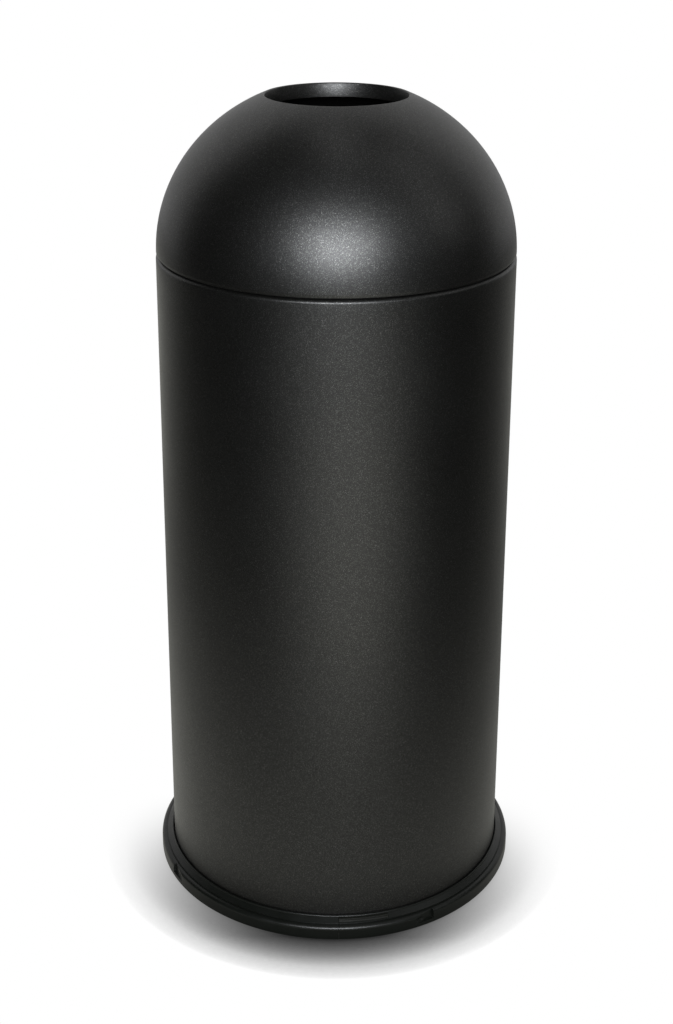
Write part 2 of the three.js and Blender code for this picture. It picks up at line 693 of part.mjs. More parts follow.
function addBail() {
  const pivot = new THREE.Group();
  pivot.position.z = bailPivot;
  pivot.rotation.x = bailRest;
  pivot.add(piece('bail_wire', makeBailWire(), 'brightSteel'));
  pivot.add(piece('bail_grip', makeBailGrip(), 'vinyl'));
  receptacle.add(pivot);
}

function addDome() {
  receptacle.add(piece('dome_skirt', makeDomeSkirt(), 'powderCoat'));
  receptacle.add(piece('dome_shell', makeDomeShell(), 'powderCoat'));
}

addBase();
addLiner();
addBail();
addDome();

export default receptacle;
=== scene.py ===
"""Dome top waste receptacle: fine meshes, finishes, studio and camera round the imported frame.

Sizes are in millimetres up to the point where a mesh is made, and +Z is up. The origin is on
the floor under the middle of the base ring. The front is -Y, and an azimuth is counted in
degrees from the front towards +X.
"""

import json
import logging
import math
from abc import ABC, abstractmethod
from collections.abc import Callable, Iterable, Sequence
from dataclasses import dataclass, field
from enum import Enum

import bmesh
import bpy
from mathutils import Matrix, Vector


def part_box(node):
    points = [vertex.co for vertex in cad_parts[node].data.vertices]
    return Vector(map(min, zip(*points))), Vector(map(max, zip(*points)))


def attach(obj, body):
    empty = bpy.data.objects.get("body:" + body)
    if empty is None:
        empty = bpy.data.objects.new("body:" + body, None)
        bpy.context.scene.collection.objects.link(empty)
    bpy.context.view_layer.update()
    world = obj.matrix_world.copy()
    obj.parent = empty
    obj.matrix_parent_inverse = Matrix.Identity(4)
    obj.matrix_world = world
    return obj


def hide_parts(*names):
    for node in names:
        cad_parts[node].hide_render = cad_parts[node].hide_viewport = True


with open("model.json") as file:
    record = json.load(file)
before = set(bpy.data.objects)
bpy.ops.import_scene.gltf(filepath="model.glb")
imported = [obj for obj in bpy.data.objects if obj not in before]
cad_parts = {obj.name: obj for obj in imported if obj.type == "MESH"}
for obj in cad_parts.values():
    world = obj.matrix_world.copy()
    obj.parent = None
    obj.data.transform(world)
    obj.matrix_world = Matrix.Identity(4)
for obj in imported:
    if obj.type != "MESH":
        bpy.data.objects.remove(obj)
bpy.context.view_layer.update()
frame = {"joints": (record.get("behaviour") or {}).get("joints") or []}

LOG = logging.getLogger("receptacle")

Point = tuple[float, float]
Outline = list[Point]
Reshape = Callable[[float, float, float], Point]
Mesh = bmesh.types.BMesh
Node = bpy.types.Node
Socket = bpy.types.NodeSocket
Tree = bpy.types.NodeTree

# One millimetre in metres, and the clearance in millimetres between pieces that touch.
MM = 0.001
GAP = 0.3
SHARP_ANGLE = math.radians(32)
# Points closer than this, in metres, are one.
WELD = 1e-7
# Share of a sheet's thickness by which its cut edges are eased.
EDGE_EASE = 1 / 3
# Input values between which a noise texture mostly lies.
NOISE_SPAN = (0.3, 0.7)
WHITE = "ffffff"


class Slot(Enum):
    """Material slots of the record."""

    POWDER_COAT = "powder_coat"
    RING_PLASTIC = "ring_plastic"
    GALVANISED_SHEET = "galvanised_sheet"
    ZINC_PLATED_STEEL = "zinc_plated_steel"
    GRIP_VINYL = "grip_vinyl"


class Rider(Enum):
    """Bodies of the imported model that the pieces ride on."""

    BODY = "receptacle_body"
    LINER = "liner"
    BAIL = "bail"
    DOME = "dome"


# ---- Sections and meshes ---------------------------------------------------------------------


def arc(centre: Point, radius: float, start: float, end: float, steps: int) -> Outline:
    """Points of a circular arc, both ends included.

    Args:
        centre: Middle of the arc (r, z).
        radius: Radius of the arc.
        start: First angle in degrees, from +r towards +z.
        end: Last angle in degrees.
        steps: Number of straight steps.

    Returns:
        The points from start to end.
    """
    return ellipse(centre, (radius, radius), start, end, steps)


def ellipse(centre: Point, radii: Point, start: float, end: float, steps: int) -> Outline:
    """Points of an elliptical arc, both ends included.

    Args:
        centre: Middle of the ellipse (r, z).
        radii: Half axes along r and z.
        start: First parameter angle in degrees.
        end: Last parameter angle in degrees.
        steps: Number of straight steps.

    Returns:
        The points from start to end.
    """
    points = []
    for step in range(steps + 1):
        angle = math.radians(start + (end - start) * step / steps)
        points.append((centre[0] + radii[0] * math.cos(angle), centre[1] + radii[1] * math.sin(angle)))
    return points


def rounded(corners: Sequence[tuple[float, float, float]], steps: int = 4) -> Outline:
    """Closed outline whose corners are replaced by arcs.

    Args:
        corners: Corners (r, z, rounding radius); 0 keeps a corner sharp.
        steps: Straight steps in each arc.

    Returns:
        The outline's points.
    """
    outline: Outline = []
    for index, (r, z, radius) in enumerate(corners):
        here = Vector((r, z))
        if radius == 0:
            outline.append((r, z))
            continue
        back = (Vector(corners[index - 1][:2]) - here).normalized()
        ahead = (Vector(corners[(index + 1) % len(corners)][:2]) - here).normalized()
        half = back.angle(ahead) / 2
        centre = here + (back + ahead).normalized() * (radius / math.sin(half))
        first = here + back * (radius / math.tan(half)) - centre
        last = here + ahead * (radius / math.tan(half)) - centre
        turn = math.atan2(first.x * last.y - first.y * last.x, first.dot(last))
        for step in range(steps + 1):
            spoke = Matrix.Rotation(turn * step / steps, 2) @ first
            outline.append((centre.x + spoke.x, centre.y + spoke.y))
    return outline


def sheet(path: Outline, thickness: float) -> Outline:
    """Closed section of a sheet whose one face follows a path, with its cut edges eased.

    Args:
        path: Points of one face.
        thickness: Offset of the other face, to the left of the path; negative for the right.

    Returns:
        The closed outline.
    """
    places = [Vector(point) for point in path]
    steps = [(b - a).normalized() for a, b in zip(places, places[1:])]
    other = []
    for index, place in enumerate(places):
        before = steps[max(index - 1, 0)]
        after = steps[min(index, len(steps) - 1)]
        across = (before + after).normalized()
        normal = Vector((-across.y, across.x))
        other.append(place + normal * (thickness / normal.dot(Vector((-before.y, before.x)))))
    ease = abs(thickness) * EDGE_EASE
    ends = {0, len(path) - 1}
    face = [(p.x, p.y, ease if i in ends else 0.0) for i, p in enumerate(places)]
    back = [(p.x, p.y, ease if i in ends else 0.0) for i, p in enumerate(other)]
    return rounded([*face, *reversed(back)], steps=2)


def around(count: int, extra: Iterable[float] = ()) -> list[float]:
    """Azimuths of a full turn at even steps, with extra columns where a form needs them.

    Args:
        count: Number of even steps.
        extra: Azimuths added between them.

    Returns:
        The sorted azimuths in degrees, from 0 up to 360.
    """
    even = [360 * step / count for step in range(count)]
    return sorted({round(azimuth % 360, 5) for azimuth in [*even, *extra]})


def apart(azimuth: float, centre: float) -> float:
    """Signed angle in degrees from a centre azimuth, between -180 and 180."""
    return (azimuth - centre + 180) % 360 - 180


def spin(
    outline: Outline, azimuths: Sequence[float], reshape: Reshape | None = None, whole: bool = True
) -> Mesh:
    """Solid swept by a section around the axis.

    Args:
        outline: Closed section (r, z), or an open one that starts and ends on the axis.
        azimuths: Columns of the sweep in degrees.
        reshape: Gives a point's new (r, z) from its r, z and azimuth.
        whole: True for a full turn; False leaves it open and caps both ends.

    Returns:
        The swept mesh in metres.
    """
    mesh = bmesh.new()
    columns = []
    for azimuth in azimuths:
        angle = math.radians(azimuth)
        column = []
        for r, z in outline:
            if reshape:
                r, z = reshape(r, z, azimuth)
            place = (r * MM * math.sin(angle), -r * MM * math.cos(angle), z * MM)
            column.append(mesh.verts.new(place))
        columns.append(column)
    on_axis = abs(outline[0][0]) < GAP * MM and abs(outline[-1][0]) < GAP * MM
    rows = len(outline) - 1 if on_axis else len(outline)
    pairs = list(zip(columns, columns[1:]))
    if whole:
        pairs.append((columns[-1], columns[0]))
    for here, there in pairs:
        for row in range(rows):
            after = (row + 1) % len(outline)
            mesh.faces.new((here[row], there[row], there[after], here[after]))
    if not whole:
        caps = [mesh.faces.new(columns[0]), mesh.faces.new(list(reversed(columns[-1])))]
        bmesh.ops.triangulate(mesh, faces=caps)
    bmesh.ops.remove_doubles(mesh, verts=mesh.verts, dist=WELD)
    bmesh.ops.recalc_face_normals(mesh, faces=mesh.faces)
    return mesh


def turned(outline: Outline, sides: int, move: Matrix) -> Mesh:
    """Small turned piece, spun about its own axis and then moved into place."""
    mesh = spin(outline, around(sides))
    bmesh.ops.transform(mesh, matrix=move, verts=mesh.verts)
    return mesh


def tube(centres: Sequence[Vector], radius: Callable[[float], float], sides: int) -> Mesh:
    """Round bar along a line, in metres, with closed ends.

    Args:
        centres: Points of the centre line in metres.
        radius: Bar radius in millimetres, from the share of the way along.
        sides: Straight sides of the section.

    Returns:
        The bar's mesh.
    """
    mesh = bmesh.new()
    befores = [centres[0], *centres[:-1]]
    afters = [*centres[1:], centres[-1]]
    tangents = [(after - before).normalized() for before, after in zip(befores, afters)]
    side = tangents[0].orthogonal().normalized()
    rings = []
    for index, (centre, tangent) in enumerate(zip(centres, tangents)):
        side = (side - tangent * side.dot(tangent)).normalized()
        other = tangent.cross(side)
        reach = radius(index / (len(centres) - 1)) * MM
        ring = []
        for corner in range(sides):
            angle = 2 * math.pi * corner / sides
            spoke = side * math.cos(angle) + other * math.sin(angle)
            ring.append(mesh.verts.new(centre + spoke * reach))
        rings.append(ring)
    for here, there in zip(rings, rings[1:]):
        for corner in range(sides):
            after = (corner + 1) % sides
            mesh.faces.new((here[corner], here[after], there[after], there[corner]))
    mesh.faces.new(list(reversed(rings[0])))
    mesh.faces.new(rings[-1])
    bmesh.ops.recalc_face_normals(mesh, faces=mesh.faces)
    return mesh


def joined(parts: Sequence[Mesh]) -> Mesh:
    """One mesh that holds several; the later ones are freed."""
    whole = parts[0]
    for part in parts[1:]:
        carrier = bpy.data.meshes.new("carrier")
        part.to_mesh(carrier)
        part.free()
        whole.from_mesh(carrier)
        bpy.data.meshes.remove(carrier)
    return whole


def make_object(name: str, mesh: Mesh) -> bpy.types.Object:
    """Object from a mesh, shaded smooth with its real edges kept sharp.

    Args:
        name: Name of the object.
        mesh: The mesh, which is freed.

    Returns:
        The linked object.
    """
    for face in mesh.faces:
        face.smooth = True
    for edge in mesh.edges:
        edge.smooth = len(edge.link_faces) == 2 and edge.calc_face_angle(math.pi) < SHARP_ANGLE
    data = bpy.data.meshes.new(name)
    mesh.to_mesh(data)
    mesh.free()
    made = bpy.data.objects.new(name, data)
    bpy.context.scene.collection.objects.link(made)
    return made


# ---- Node tools ------------------------------------------------------------------------------


def colour(code: str) -> tuple[float, float, float, float]:
    """Linear colour of an sRGB hex value such as "1c1c1a"."""
    shares = [int(code[place : place + 2], 16) / 255 for place in (0, 2, 4)]
    linear = [share / 12.92 if share <= 0.04045 else ((share + 0.055) / 1.055) ** 2.4 for share in shares]
    return (*linear, 1.0)


def add_node(
    tree: Tree,
    kind: str,
    settings: dict[str, object] | None = None,
    inputs: dict[str | int, object] | None = None,
) -> Node:
    """Adds a node with its settings, its constant inputs and its links.

    Args:
        tree: Node tree that gets the node.
        kind: Node type without its "ShaderNode" beginning.
        settings: Properties to set.
        inputs: Input name or index to a constant, or to the socket that feeds it.

    Returns:
        The new node.
    """
    node = tree.nodes.new(f"ShaderNode{kind}")
    for name, value in (settings or {}).items():
        setattr(node, name, value)
    for key, value in (inputs or {}).items():
        if isinstance(value, Socket):
            tree.links.new(value, node.inputs[key])
        else:
            node.inputs[key].default_value = value
    return node


def per_metre(size_mm: float) -> float:
    """Texture scale at which a pattern's cell is as large as a size in millimetres."""
    return 1 / (size_mm * MM)


def maths(tree: Tree, operation: str, *values: Socket | float) -> Socket:
    """Result of a math node on values, each a socket or a constant."""
    return add_node(tree, "Math", {"operation": operation}, dict(enumerate(values))).outputs[0]


def vectors(tree: Tree, operation: str, *values: Socket | Sequence[float]) -> Socket:
    """Vector result of a vector math node on values, each a socket or a constant."""
    return add_node(tree, "VectorMath", {"operation": operation}, dict(enumerate(values))).outputs[0]


def noise(tree: Tree, place: Socket, size_mm: float) -> Node:
    """Noise texture whose pattern has a size in millimetres."""
    return add_node(tree, "TexNoise", inputs={"Vector": place, "Scale": per_metre(size_mm)})


def skin(tree: Tree, relief: Socket, height_mm: float) -> Socket:
    """Normal of a surface that a relief lifts by up to a height in millimetres."""
    return add_node(tree, "Bump", inputs={"Height": relief, "Distance": height_mm * MM}).outputs[0]


def mixed_colour(tree: Tree, share: Socket, first: str, second: str) -> Socket:
    """Colour between two sRGB hex values.

    Args:
        tree: Node tree that gets the node.
        share: Share of the second colour.
        first: Colour at share 0.
        second: Colour at share 1.

    Returns:
        The mixed colour. Inputs 6 and 7 and output 2 are the mix node's colour sockets.
    """
    inputs = {0: share, 6: colour(first), 7: colour(second)}
    return add_node(tree, "Mix", {"data_type": "RGBA"}, inputs).outputs[2]


def ramp(
    tree: Tree, value: Socket, start: float, end: float, low: Socket | float = 0.0, high: float = 1.0
) -> Socket:
    """Value that goes from low to high while its input goes from start to end, and no further.

    Args:
        tree: Node tree that gets the node.
        value: The input.
        start: Input at which the result is low.
        end: Input at which the result is high.
        low: First result.
        high: Last result.

    Returns:
        The result.
    """
    inputs = {"Value": value, "From Min": start, "From Max": end, "To Min": low, "To Max": high}
    return add_node(tree, "MapRange", inputs=inputs).outputs["Result"]


def spread(tree: Tree, value: Socket, middle: float, reach: float) -> Socket:
    """Value that follows a noise's middle range, from middle - reach to middle + reach."""
    return ramp(tree, value, *NOISE_SPAN, middle - reach, middle + reach)


def blank_material(name: str) -> bpy.types.Material:
    """New material with an empty node tree."""
    made = bpy.data.materials.new(name)
    made.use_nodes = True
    made.node_tree.nodes.clear()
    return made


def ray_shares(tree: Tree) -> tuple[Socket, Socket]:
    """Whether a ray comes straight or through glass from the camera, and whether it is glossy."""
    rays = add_node(tree, "LightPath").outputs
    return maths(tree, "MAXIMUM", rays["Is Camera Ray"], rays["Is Transmission Ray"]), rays["Is Glossy Ray"]


# ---- Finishes --------------------------------------------------------------------------------


@dataclass(frozen=True)
class Finish(ABC):
    """A surface finish: its material slot and a method that makes its material."""

    name: str
    slot: Slot

    def material(self) -> bpy.types.Material:
        """The finish's material, made once and shared by its pieces."""
        ready = bpy.data.materials.get(self.name)
        if ready:
            return ready
        made = blank_material(self.name)
        tree = made.node_tree
        place = add_node(tree, "TexCoord").outputs["Object"]
        shader = self.shade(tree, place)
        add_node(tree, "OutputMaterial", inputs={"Surface": shader.outputs["BSDF"]})
        return made

    @abstractmethod
    def shade(self, tree: Tree, place: Socket) -> Node:
        """Builds the shader.

        Args:
            tree: The material's nodes.
            place: Position on the piece in metres.

        Returns:
            The surface shader.
        """


@dataclass(frozen=True)
class PowderCoat(Finish):
    """Fine-textured black polyester powder coat with aluminium flake, sprayed dry and baked.

    The melt leaves a faint pebbled skin, which blurs every reflection into a wide soft glow.
    The flakes lie nearly flat in it, each at its own small tilt, and glint one by one there.
    """

    name: str = "flaked_polyester_powder_coat"
    slot: Slot = Slot.POWDER_COAT
    ground: str = "0b0b09"
    # Aluminium seen through the smoky binder, from the deepest flakes to the topmost.
    flake_deep: str = "363633"
    flake_top: str = "7c7c7a"
    # Cured polyester with its filler.
    ior: float = 1.6
    roughness: float = 0.42
    # The flakes are about 0.05 mm across, which no pixel shows. They are drawn coarse enough
    # to fill about half a pixel.
    flake_mm: float = 0.42
    flake_share: float = 0.3
    flake_tilt: float = 0.16
    # Most flakes lie deep, and few lie at the top.
    flake_depth_power: float = 2.5
    # The skin's pebbles are about 0.4 mm across, drawn at a little over twice that.
    pebble_mm: float = 1.0
    pebble_height_mm: float = 0.008
    # Thickness and flow of the coat vary slowly over a hand's breadth.
    cloud_mm: float = 70.0
    gloss_reach: float = 0.015

    def shade(self, tree: Tree, place: Socket) -> Node:
        """Builds the shader: pebbled ground, with a random few cells turned to tilted flake."""
        inputs = {"Vector": place, "Scale": per_metre(self.flake_mm)}
        cells = add_node(tree, "TexVoronoi", inputs=inputs).outputs
        lot = add_node(tree, "TexWhiteNoise", inputs={"Vector": cells["Position"]}).outputs
        picked = maths(tree, "LESS_THAN", lot["Value"], self.flake_share)
        pebbles = noise(tree, place, self.pebble_mm)
        lean = vectors(tree, "SUBTRACT", cells["Color"], (0.5,) * 3)
        amount = maths(tree, "MULTIPLY", picked, self.flake_tilt)
        inputs = {0: lean, "Scale": amount}
        tilt = add_node(tree, "VectorMath", {"operation": "SCALE"}, inputs)
        coat = skin(tree, pebbles.outputs[0], self.pebble_height_mm)
        normal = vectors(tree, "NORMALIZE", vectors(tree, "ADD", coat, tilt.outputs[0]))
        depth = add_node(tree, "SeparateColor", inputs={"Color": lot["Color"]})
        steep = maths(tree, "POWER", depth.outputs[1], self.flake_depth_power)
        metal = mixed_colour(tree, steep, self.flake_deep, self.flake_top)
        inputs = {0: picked, 6: colour(self.ground), 7: metal}
        tint = add_node(tree, "Mix", {"data_type": "RGBA"}, inputs).outputs[2]
        clouds = noise(tree, place, self.cloud_mm)
        gloss = spread(tree, clouds.outputs[0], self.roughness, self.gloss_reach)
        inputs = {"Base Color": tint, "Roughness": gloss, "Metallic": picked, "Normal": normal}
        return add_node(tree, "BsdfPrincipled", inputs={**inputs, "IOR": self.ior})


@dataclass(frozen=True)
class MouldedPolypropylene(Finish):
    """Black polypropylene, injection moulded in a finely etched tool.

    Its skin is even and waxy: darker than the coat, with closer and cleaner highlights along
    every rounded edge.
    """

    name: str = "moulded_polypropylene"
    slot: Slot = Slot.RING_PLASTIC
    ground: str = "111310"
    ior: float = 1.42
    roughness: float = 0.36
    # The etched grain is about 0.3 mm, drawn at about twice that.
    grain_mm: float = 0.7
    grain_height_mm: float = 0.004
    flow_mm: float = 25.0
    gloss_reach: float = 0.04

    def shade(self, tree: Tree, place: Socket) -> Node:
        """Builds the shader: etched grain and slow changes of gloss along the melt's flow."""
        grain = skin(tree, noise(tree, place, self.grain_mm).outputs[0], self.grain_height_mm)
        flow = noise(tree, place, self.flow_mm)
        gloss = spread(tree, flow.outputs[0], self.roughness, self.gloss_reach)
        inputs = {"Base Color": colour(self.ground), "Roughness": gloss, "Normal": grain}
        return add_node(tree, "BsdfPrincipled", inputs={**inputs, "IOR": self.ior})


@dataclass(frozen=True)
class GalvanisedSheet(Finish):
    """Steel sheet, hot-dip galvanised.

    The zinc freezes into spangles a centimetre across, each reflecting a little more or less
    than its neighbour, under a thin dull bloom.
    """

    name: str = "hot_dip_galvanised_sheet"
    slot: Slot = Slot.GALVANISED_SHEET
    bright: str = "c3c7c9"
    dull: str = "9ea3a6"
    roughness: float = 0.38
    spangle_mm: float = 9.0
    bloom_mm: float = 1.2
    bloom_height_mm: float = 0.006
    gloss_reach: float = 0.05

    def shade(self, tree: Tree, place: Socket) -> Node:
        """Builds the shader: spangle cells with wandering borders over a fine bloom."""
        bend = noise(tree, place, self.spangle_mm)
        reach = (self.spangle_mm * MM / 2,) * 3
        moved = vectors(tree, "MULTIPLY_ADD", bend.outputs["Color"], reach, place)
        inputs = {"Vector": moved, "Scale": per_metre(self.spangle_mm)}
        cells = add_node(tree, "TexVoronoi", inputs=inputs)
        drawn = add_node(tree, "SeparateColor", inputs={"Color": cells.outputs["Color"]})
        tint = mixed_colour(tree, drawn.outputs[0], self.dull, self.bright)
        gloss = spread(tree, drawn.outputs[1], self.roughness, self.gloss_reach)
        bloom = skin(tree, noise(tree, place, self.bloom_mm).outputs[0], self.bloom_height_mm)
        inputs = {"Base Color": tint, "Metallic": 1.0, "Roughness": gloss, "Normal": bloom}
        return add_node(tree, "BsdfPrincipled", inputs=inputs)


@dataclass(frozen=True)
class ZincPlatedSteel(Finish):
    """Drawn and turned steel, electroplated with bright zinc.

    The plating is thin and clean, so the fine drawing lines show through a bluish shine.
    """

    name: str = "bright_zinc_plated_steel"
    slot: Slot = Slot.ZINC_PLATED_STEEL
    ground: str = "c8ccd0"
    roughness: float = 0.27
    line_mm: float = 0.8
    line_height_mm: float = 0.003
    gloss_reach: float = 0.06

    def shade(self, tree: Tree, place: Socket) -> Node:
        """Builds the shader: bright plate with fine lines in its gloss."""
        lines = noise(tree, place, self.line_mm).outputs[0]
        gloss = spread(tree, lines, self.roughness, self.gloss_reach)
        plate = skin(tree, lines, self.line_height_mm)
        inputs = {"Base Color": colour(self.ground), "Roughness": gloss, "Normal": plate}
        return add_node(tree, "BsdfPrincipled", inputs={**inputs, "Metallic": 1.0})


@dataclass(frozen=True)
class ExtrudedVinyl(Finish):
    """Black plasticised vinyl, extruded as a sleeve: matt, with a faint skin of die lines."""

    name: str = "extruded_vinyl"
    slot: Slot = Slot.GRIP_VINYL
    ground: str = "1f1f1e"
    roughness: float = 0.55
    grain_mm: float = 0.9
    grain_height_mm: float = 0.016
    gloss_reach: float = 0.06

    def shade(self, tree: Tree, place: Socket) -> Node:
        """Builds the shader: soft matt ground with a fine grain."""
        grain = noise(tree, place, self.grain_mm).outputs[0]
        sleeve = skin(tree, grain, self.grain_height_mm)
        gloss = spread(tree, grain, self.roughness, self.gloss_reach)
        inputs = {"Base Color": colour(self.ground), "Roughness": gloss, "Normal": sleeve}
        return add_node(tree, "BsdfPrincipled", inputs=inputs)


POWDER_COAT = PowderCoat()
POLYPROPYLENE = MouldedPolypropylene()
# The splice cover's strip is extruded, and duller than the ring.
STRIP = MouldedPolypropylene(name="extruded_polypropylene_strip", ground="13140f", ior=1.3, roughness=0.6)
GALVANISED = GalvanisedSheet()
ZINC_PLATE = ZincPlatedSteel()
VINYL = ExtrudedVinyl()


# ---- Sub-assemblies --------------------------------------------------------------------------


@dataclass
class Piece:
    """A modelled piece, its finish, and the frame nodes that it stands for."""

    thing: bpy.types.Object
    finish: Finish
    nodes: tuple[str, ...]


@dataclass
class SubAssembly(ABC):
    """A group of pieces that ride on one body."""

    rider: Rider = field(init=False)
    pieces: list[Piece] = field(init=False, default_factory=list)

    def add(self, name: str, mesh: Mesh, finish: Finish, *nodes: str) -> None:
        """Keeps a piece.

        Args:
            name: Name of the piece.
            mesh: Its mesh.
            finish: Its finish.
            nodes: Frame nodes that it stands for.
        """
        self.pieces.append(Piece(make_object(name, mesh), finish, nodes))

    @abstractmethod
    def build(self) -> None:
        """Builds the meshes."""

    def dress(self) -> None:
        """Gives each piece its finish and its body, and hides the frame nodes that it stands for."""
        for piece in self.pieces:
            piece.thing.data.materials.append(piece.finish.material())
            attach(piece.thing, self.rider.value)
            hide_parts(*piece.nodes)


def node_size(node: str) -> tuple[float, float, float]:
    """Outer radius, lowest and highest point of a frame node, in millimetres."""
    low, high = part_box(node)
    return high.x / MM, low.z / MM, high.z / MM


@dataclass
class BaseRing(SubAssembly):
    """Moulded bumper ring with its splice cover.

    From the body outwards: a rounded bead, a sloping land, a fine groove, a rounded shoulder
    and the wall. The ring is split just right of the front, where a ribbed cover lies on the
    land, and four ramped pockets are let into the wall.
    """

    wall: float = 2.6
    foot_width: float = 4.5
    foot_height: float = 2.6
    edge: float = 1.0
    shoulder_base: float = 11.5
    shoulder_width: float = 5.4
    shoulder_height: float = 4.5
    land_rise: float = 6.2
    body_gap: float = 0.8
    groove: float = 1.2
    bead_width: float = 2.6
    bead_height: float = 0.9
    bead_inset: float = 0.4
    bead_fullness: float = 0.7
    seat_width: float = 17.0
    seat_round: float = 0.5
    seat_bottom: float = 3.4
    seat_thickness: float = 3.0
    rib_count: int = 24
    rib_thickness: float = 2.0
    rib_bottom: float = 3.9
    split_azimuth: float = 1.5
    split_width: float = 0.3
    splice_span: float = 16.0
    splice_margin: float = 1.1
    splice_proud: float = 0.3
    splice_sunk: float = 0.9
    splice_ridge: float = 0.35
    # The two ridges' places across the cover, as shares of its width, and how narrow they are.
    ridge_shares: Point = (0.34, 0.68)
    ridge_narrowness: float = 11.0
    # Share of the cover's width over which each of its edges rises.
    splice_edge: float = 1 / 6
    pocket_count: int = 4
    pocket_first: float = 29.2
    pocket_span: float = 6.6
    pocket_depth: float = 3.5
    pocket_bottom: float = 5.2
    # An oval scoop in the shallow half of each pocket: its place along the pocket, its height
    # above the floor, its half axes and its depth.
    scoop_along: float = 0.27
    scoop_middle: float = 8.8
    scoop_half_length: float = 5.0
    scoop_half_height: float = 3.2
    scoop_depth: float = 1.6
    # Half the width of the steps, in millimetres and in degrees, that stand for sharp edges.
    fine: float = 0.06

    def __post_init__(self) -> None:
        """Takes the ring's radius and the body's from the frame."""
        self.rider = Rider.BODY
        self.radius = node_size("base_ring")[0]
        self.inner = node_size("body_shell")[0] + self.body_gap
        self.land_edge = self.radius - self.shoulder_width
        self.shoulder_top = self.shoulder_base + self.shoulder_height
        self.land_top = self.shoulder_top + self.land_rise
        self.seat_top = self.seat_bottom + self.seat_thickness
        run = Vector((self.inner - self.land_edge, self.land_rise))
        self.land_length = run.length
        self.slope = run.normalized()
        self.slope_normal = Vector((self.slope.y, -self.slope.x))
        self.bead_end = self.land_length - self.bead_inset
        self.bead_start = self.bead_end - self.bead_width
        self.splice_start = self.groove + self.splice_margin
        # The hollow's upper corners, from the body outwards.
        self.ceiling = [
            (self.inner + self.wall, self.on_land(self.land_length - self.wall, -self.wall)[1]),
            (self.land_edge - self.groove, self.shoulder_top - self.groove - self.wall),
            (self.radius - self.wall, self.shoulder_base - self.edge),
        ]

    def on_land(self, distance: float, height: float = 0.0) -> Point:
        """A place on the land, counted from its outer edge up towards the body."""
        edge = Vector((self.land_edge, self.shoulder_top))
        place = edge + self.slope * distance + self.slope_normal * height
        return (place.x, place.y)

    def section(self) -> Outline:
        """Closed section of the ring, starting at the foot's inner corner."""
        shoulder = ellipse(
            (self.land_edge, self.shoulder_base), (self.shoulder_width, self.shoulder_height), 0, 90, 12
        )
        foot = arc((self.radius - self.edge, self.edge), self.edge, -90, 0, 5)
        ledges = [self.pocket_bottom - self.fine, self.pocket_bottom + self.fine]
        rows = 9
        rise = (self.shoulder_base - self.pocket_bottom) / rows
        heights = [*ledges, *(self.pocket_bottom + rise * row for row in range(1, rows))]
        wall = [(self.radius, z) for z in heights]
        depth = self.groove / 2
        groove = [self.on_land(self.groove * s, -depth * math.sin(math.pi * s)) for s in (0.25, 0.5, 0.75)]
        edges = (self.splice_start - GAP, self.bead_start - 2 * self.fine)
        land = [self.on_land(edge + side * self.fine) for edge in edges for side in (-1, 1)]
        bead = []
        for s in (0.0, 0.06, 0.15, 0.3, 0.45, 0.6, 0.75, 0.88, 1.0):
            rise = self.bead_height * math.sin(math.pi * s) ** self.bead_fullness
            bead.append(self.on_land(self.bead_start + self.bead_width * s, rise))
        hollow = [
            (self.inner + self.wall, self.seat_bottom),
            *self.ceiling,
            (self.radius - self.wall, self.foot_height + self.foot_width - self.wall),
            (self.radius - self.foot_width, self.foot_height),
        ]
        seat_inner, ease = self.inner - self.seat_width, self.seat_round
        return [
            (self.radius - self.foot_width, 0.0),
            *foot,
            *wall,
            *shoulder,
            *groove,
            self.on_land(self.groove),
            *land,
            *bead,
            (self.inner, self.land_top - self.edge),
            (self.inner, self.seat_top),
            *arc((seat_inner + ease, self.seat_top - ease), ease, 90, 180, 3),
            (seat_inner, self.seat_bottom),
            *hollow,
        ]

    def pocket_places(self) -> list[tuple[float, int]]:
        """Middle azimuth of each pocket, and the side on which it is deep."""
        step = 360 / self.pocket_count
        return [(self.pocket_first + step * i, 1 if i % 2 == 0 else -1) for i in range(self.pocket_count)]

    def moulded(self, r: float, z: float, azimuth: float) -> Point:
        """Adds pockets, ribs and the pockets' backing to a point of the section."""
        in_hollow = self.inner + self.wall - GAP < r < self.radius - GAP and z > self.rib_bottom
        under_land = z < self.on_land(self.land_length, -self.wall / 2)[1]
        if in_hollow and under_land and r < self.radius - self.wall + GAP and self.is_underside(r, z):
            turn = abs(apart(azimuth, 180 / self.rib_count) % (360 / self.rib_count))
            turn = min(turn, 360 / self.rib_count - turn)
            if math.radians(turn) * r < self.rib_thickness / 2:
                return (r, self.rib_bottom)
        for middle, deep_side in self.pocket_places():
            along = apart(azimuth, middle) * deep_side / self.pocket_span + 0.5
            if 0 <= along <= 1 and z > self.pocket_bottom and r > self.land_edge:
                return (min(r, self.radius - self.pocket_depth * along - self.scooped(along, z)), z)
        return self.recessed(r, z, azimuth)

    def scooped(self, along: float, z: float) -> float:
        """Depth of the oval scoop at a place of a pocket's face."""
        length = math.radians(self.pocket_span) * self.radius
        x = (along - self.scoop_along) * length / self.scoop_half_length
        y = (z - self.scoop_middle) / self.scoop_half_height
        return self.scoop_depth * max(0.0, 1 - x * x - y * y)

    def recessed(self, r: float, z: float, azimuth: float) -> Point:
        """Sinks a point of the land where the splice cover lies."""
        from_edge = Vector((r - self.land_edge, z - self.shoulder_top))
        along, up = from_edge.dot(self.slope), from_edge.dot(self.slope_normal)
        on_land = abs(up) < self.fine and self.splice_start - GAP < along < self.bead_start - 2 * self.fine
        if on_land and (azimuth - self.split_azimuth) % 360 < self.splice_span + self.fine:
            return self.on_land(along, -self.splice_sunk - GAP)
        return (r, z)

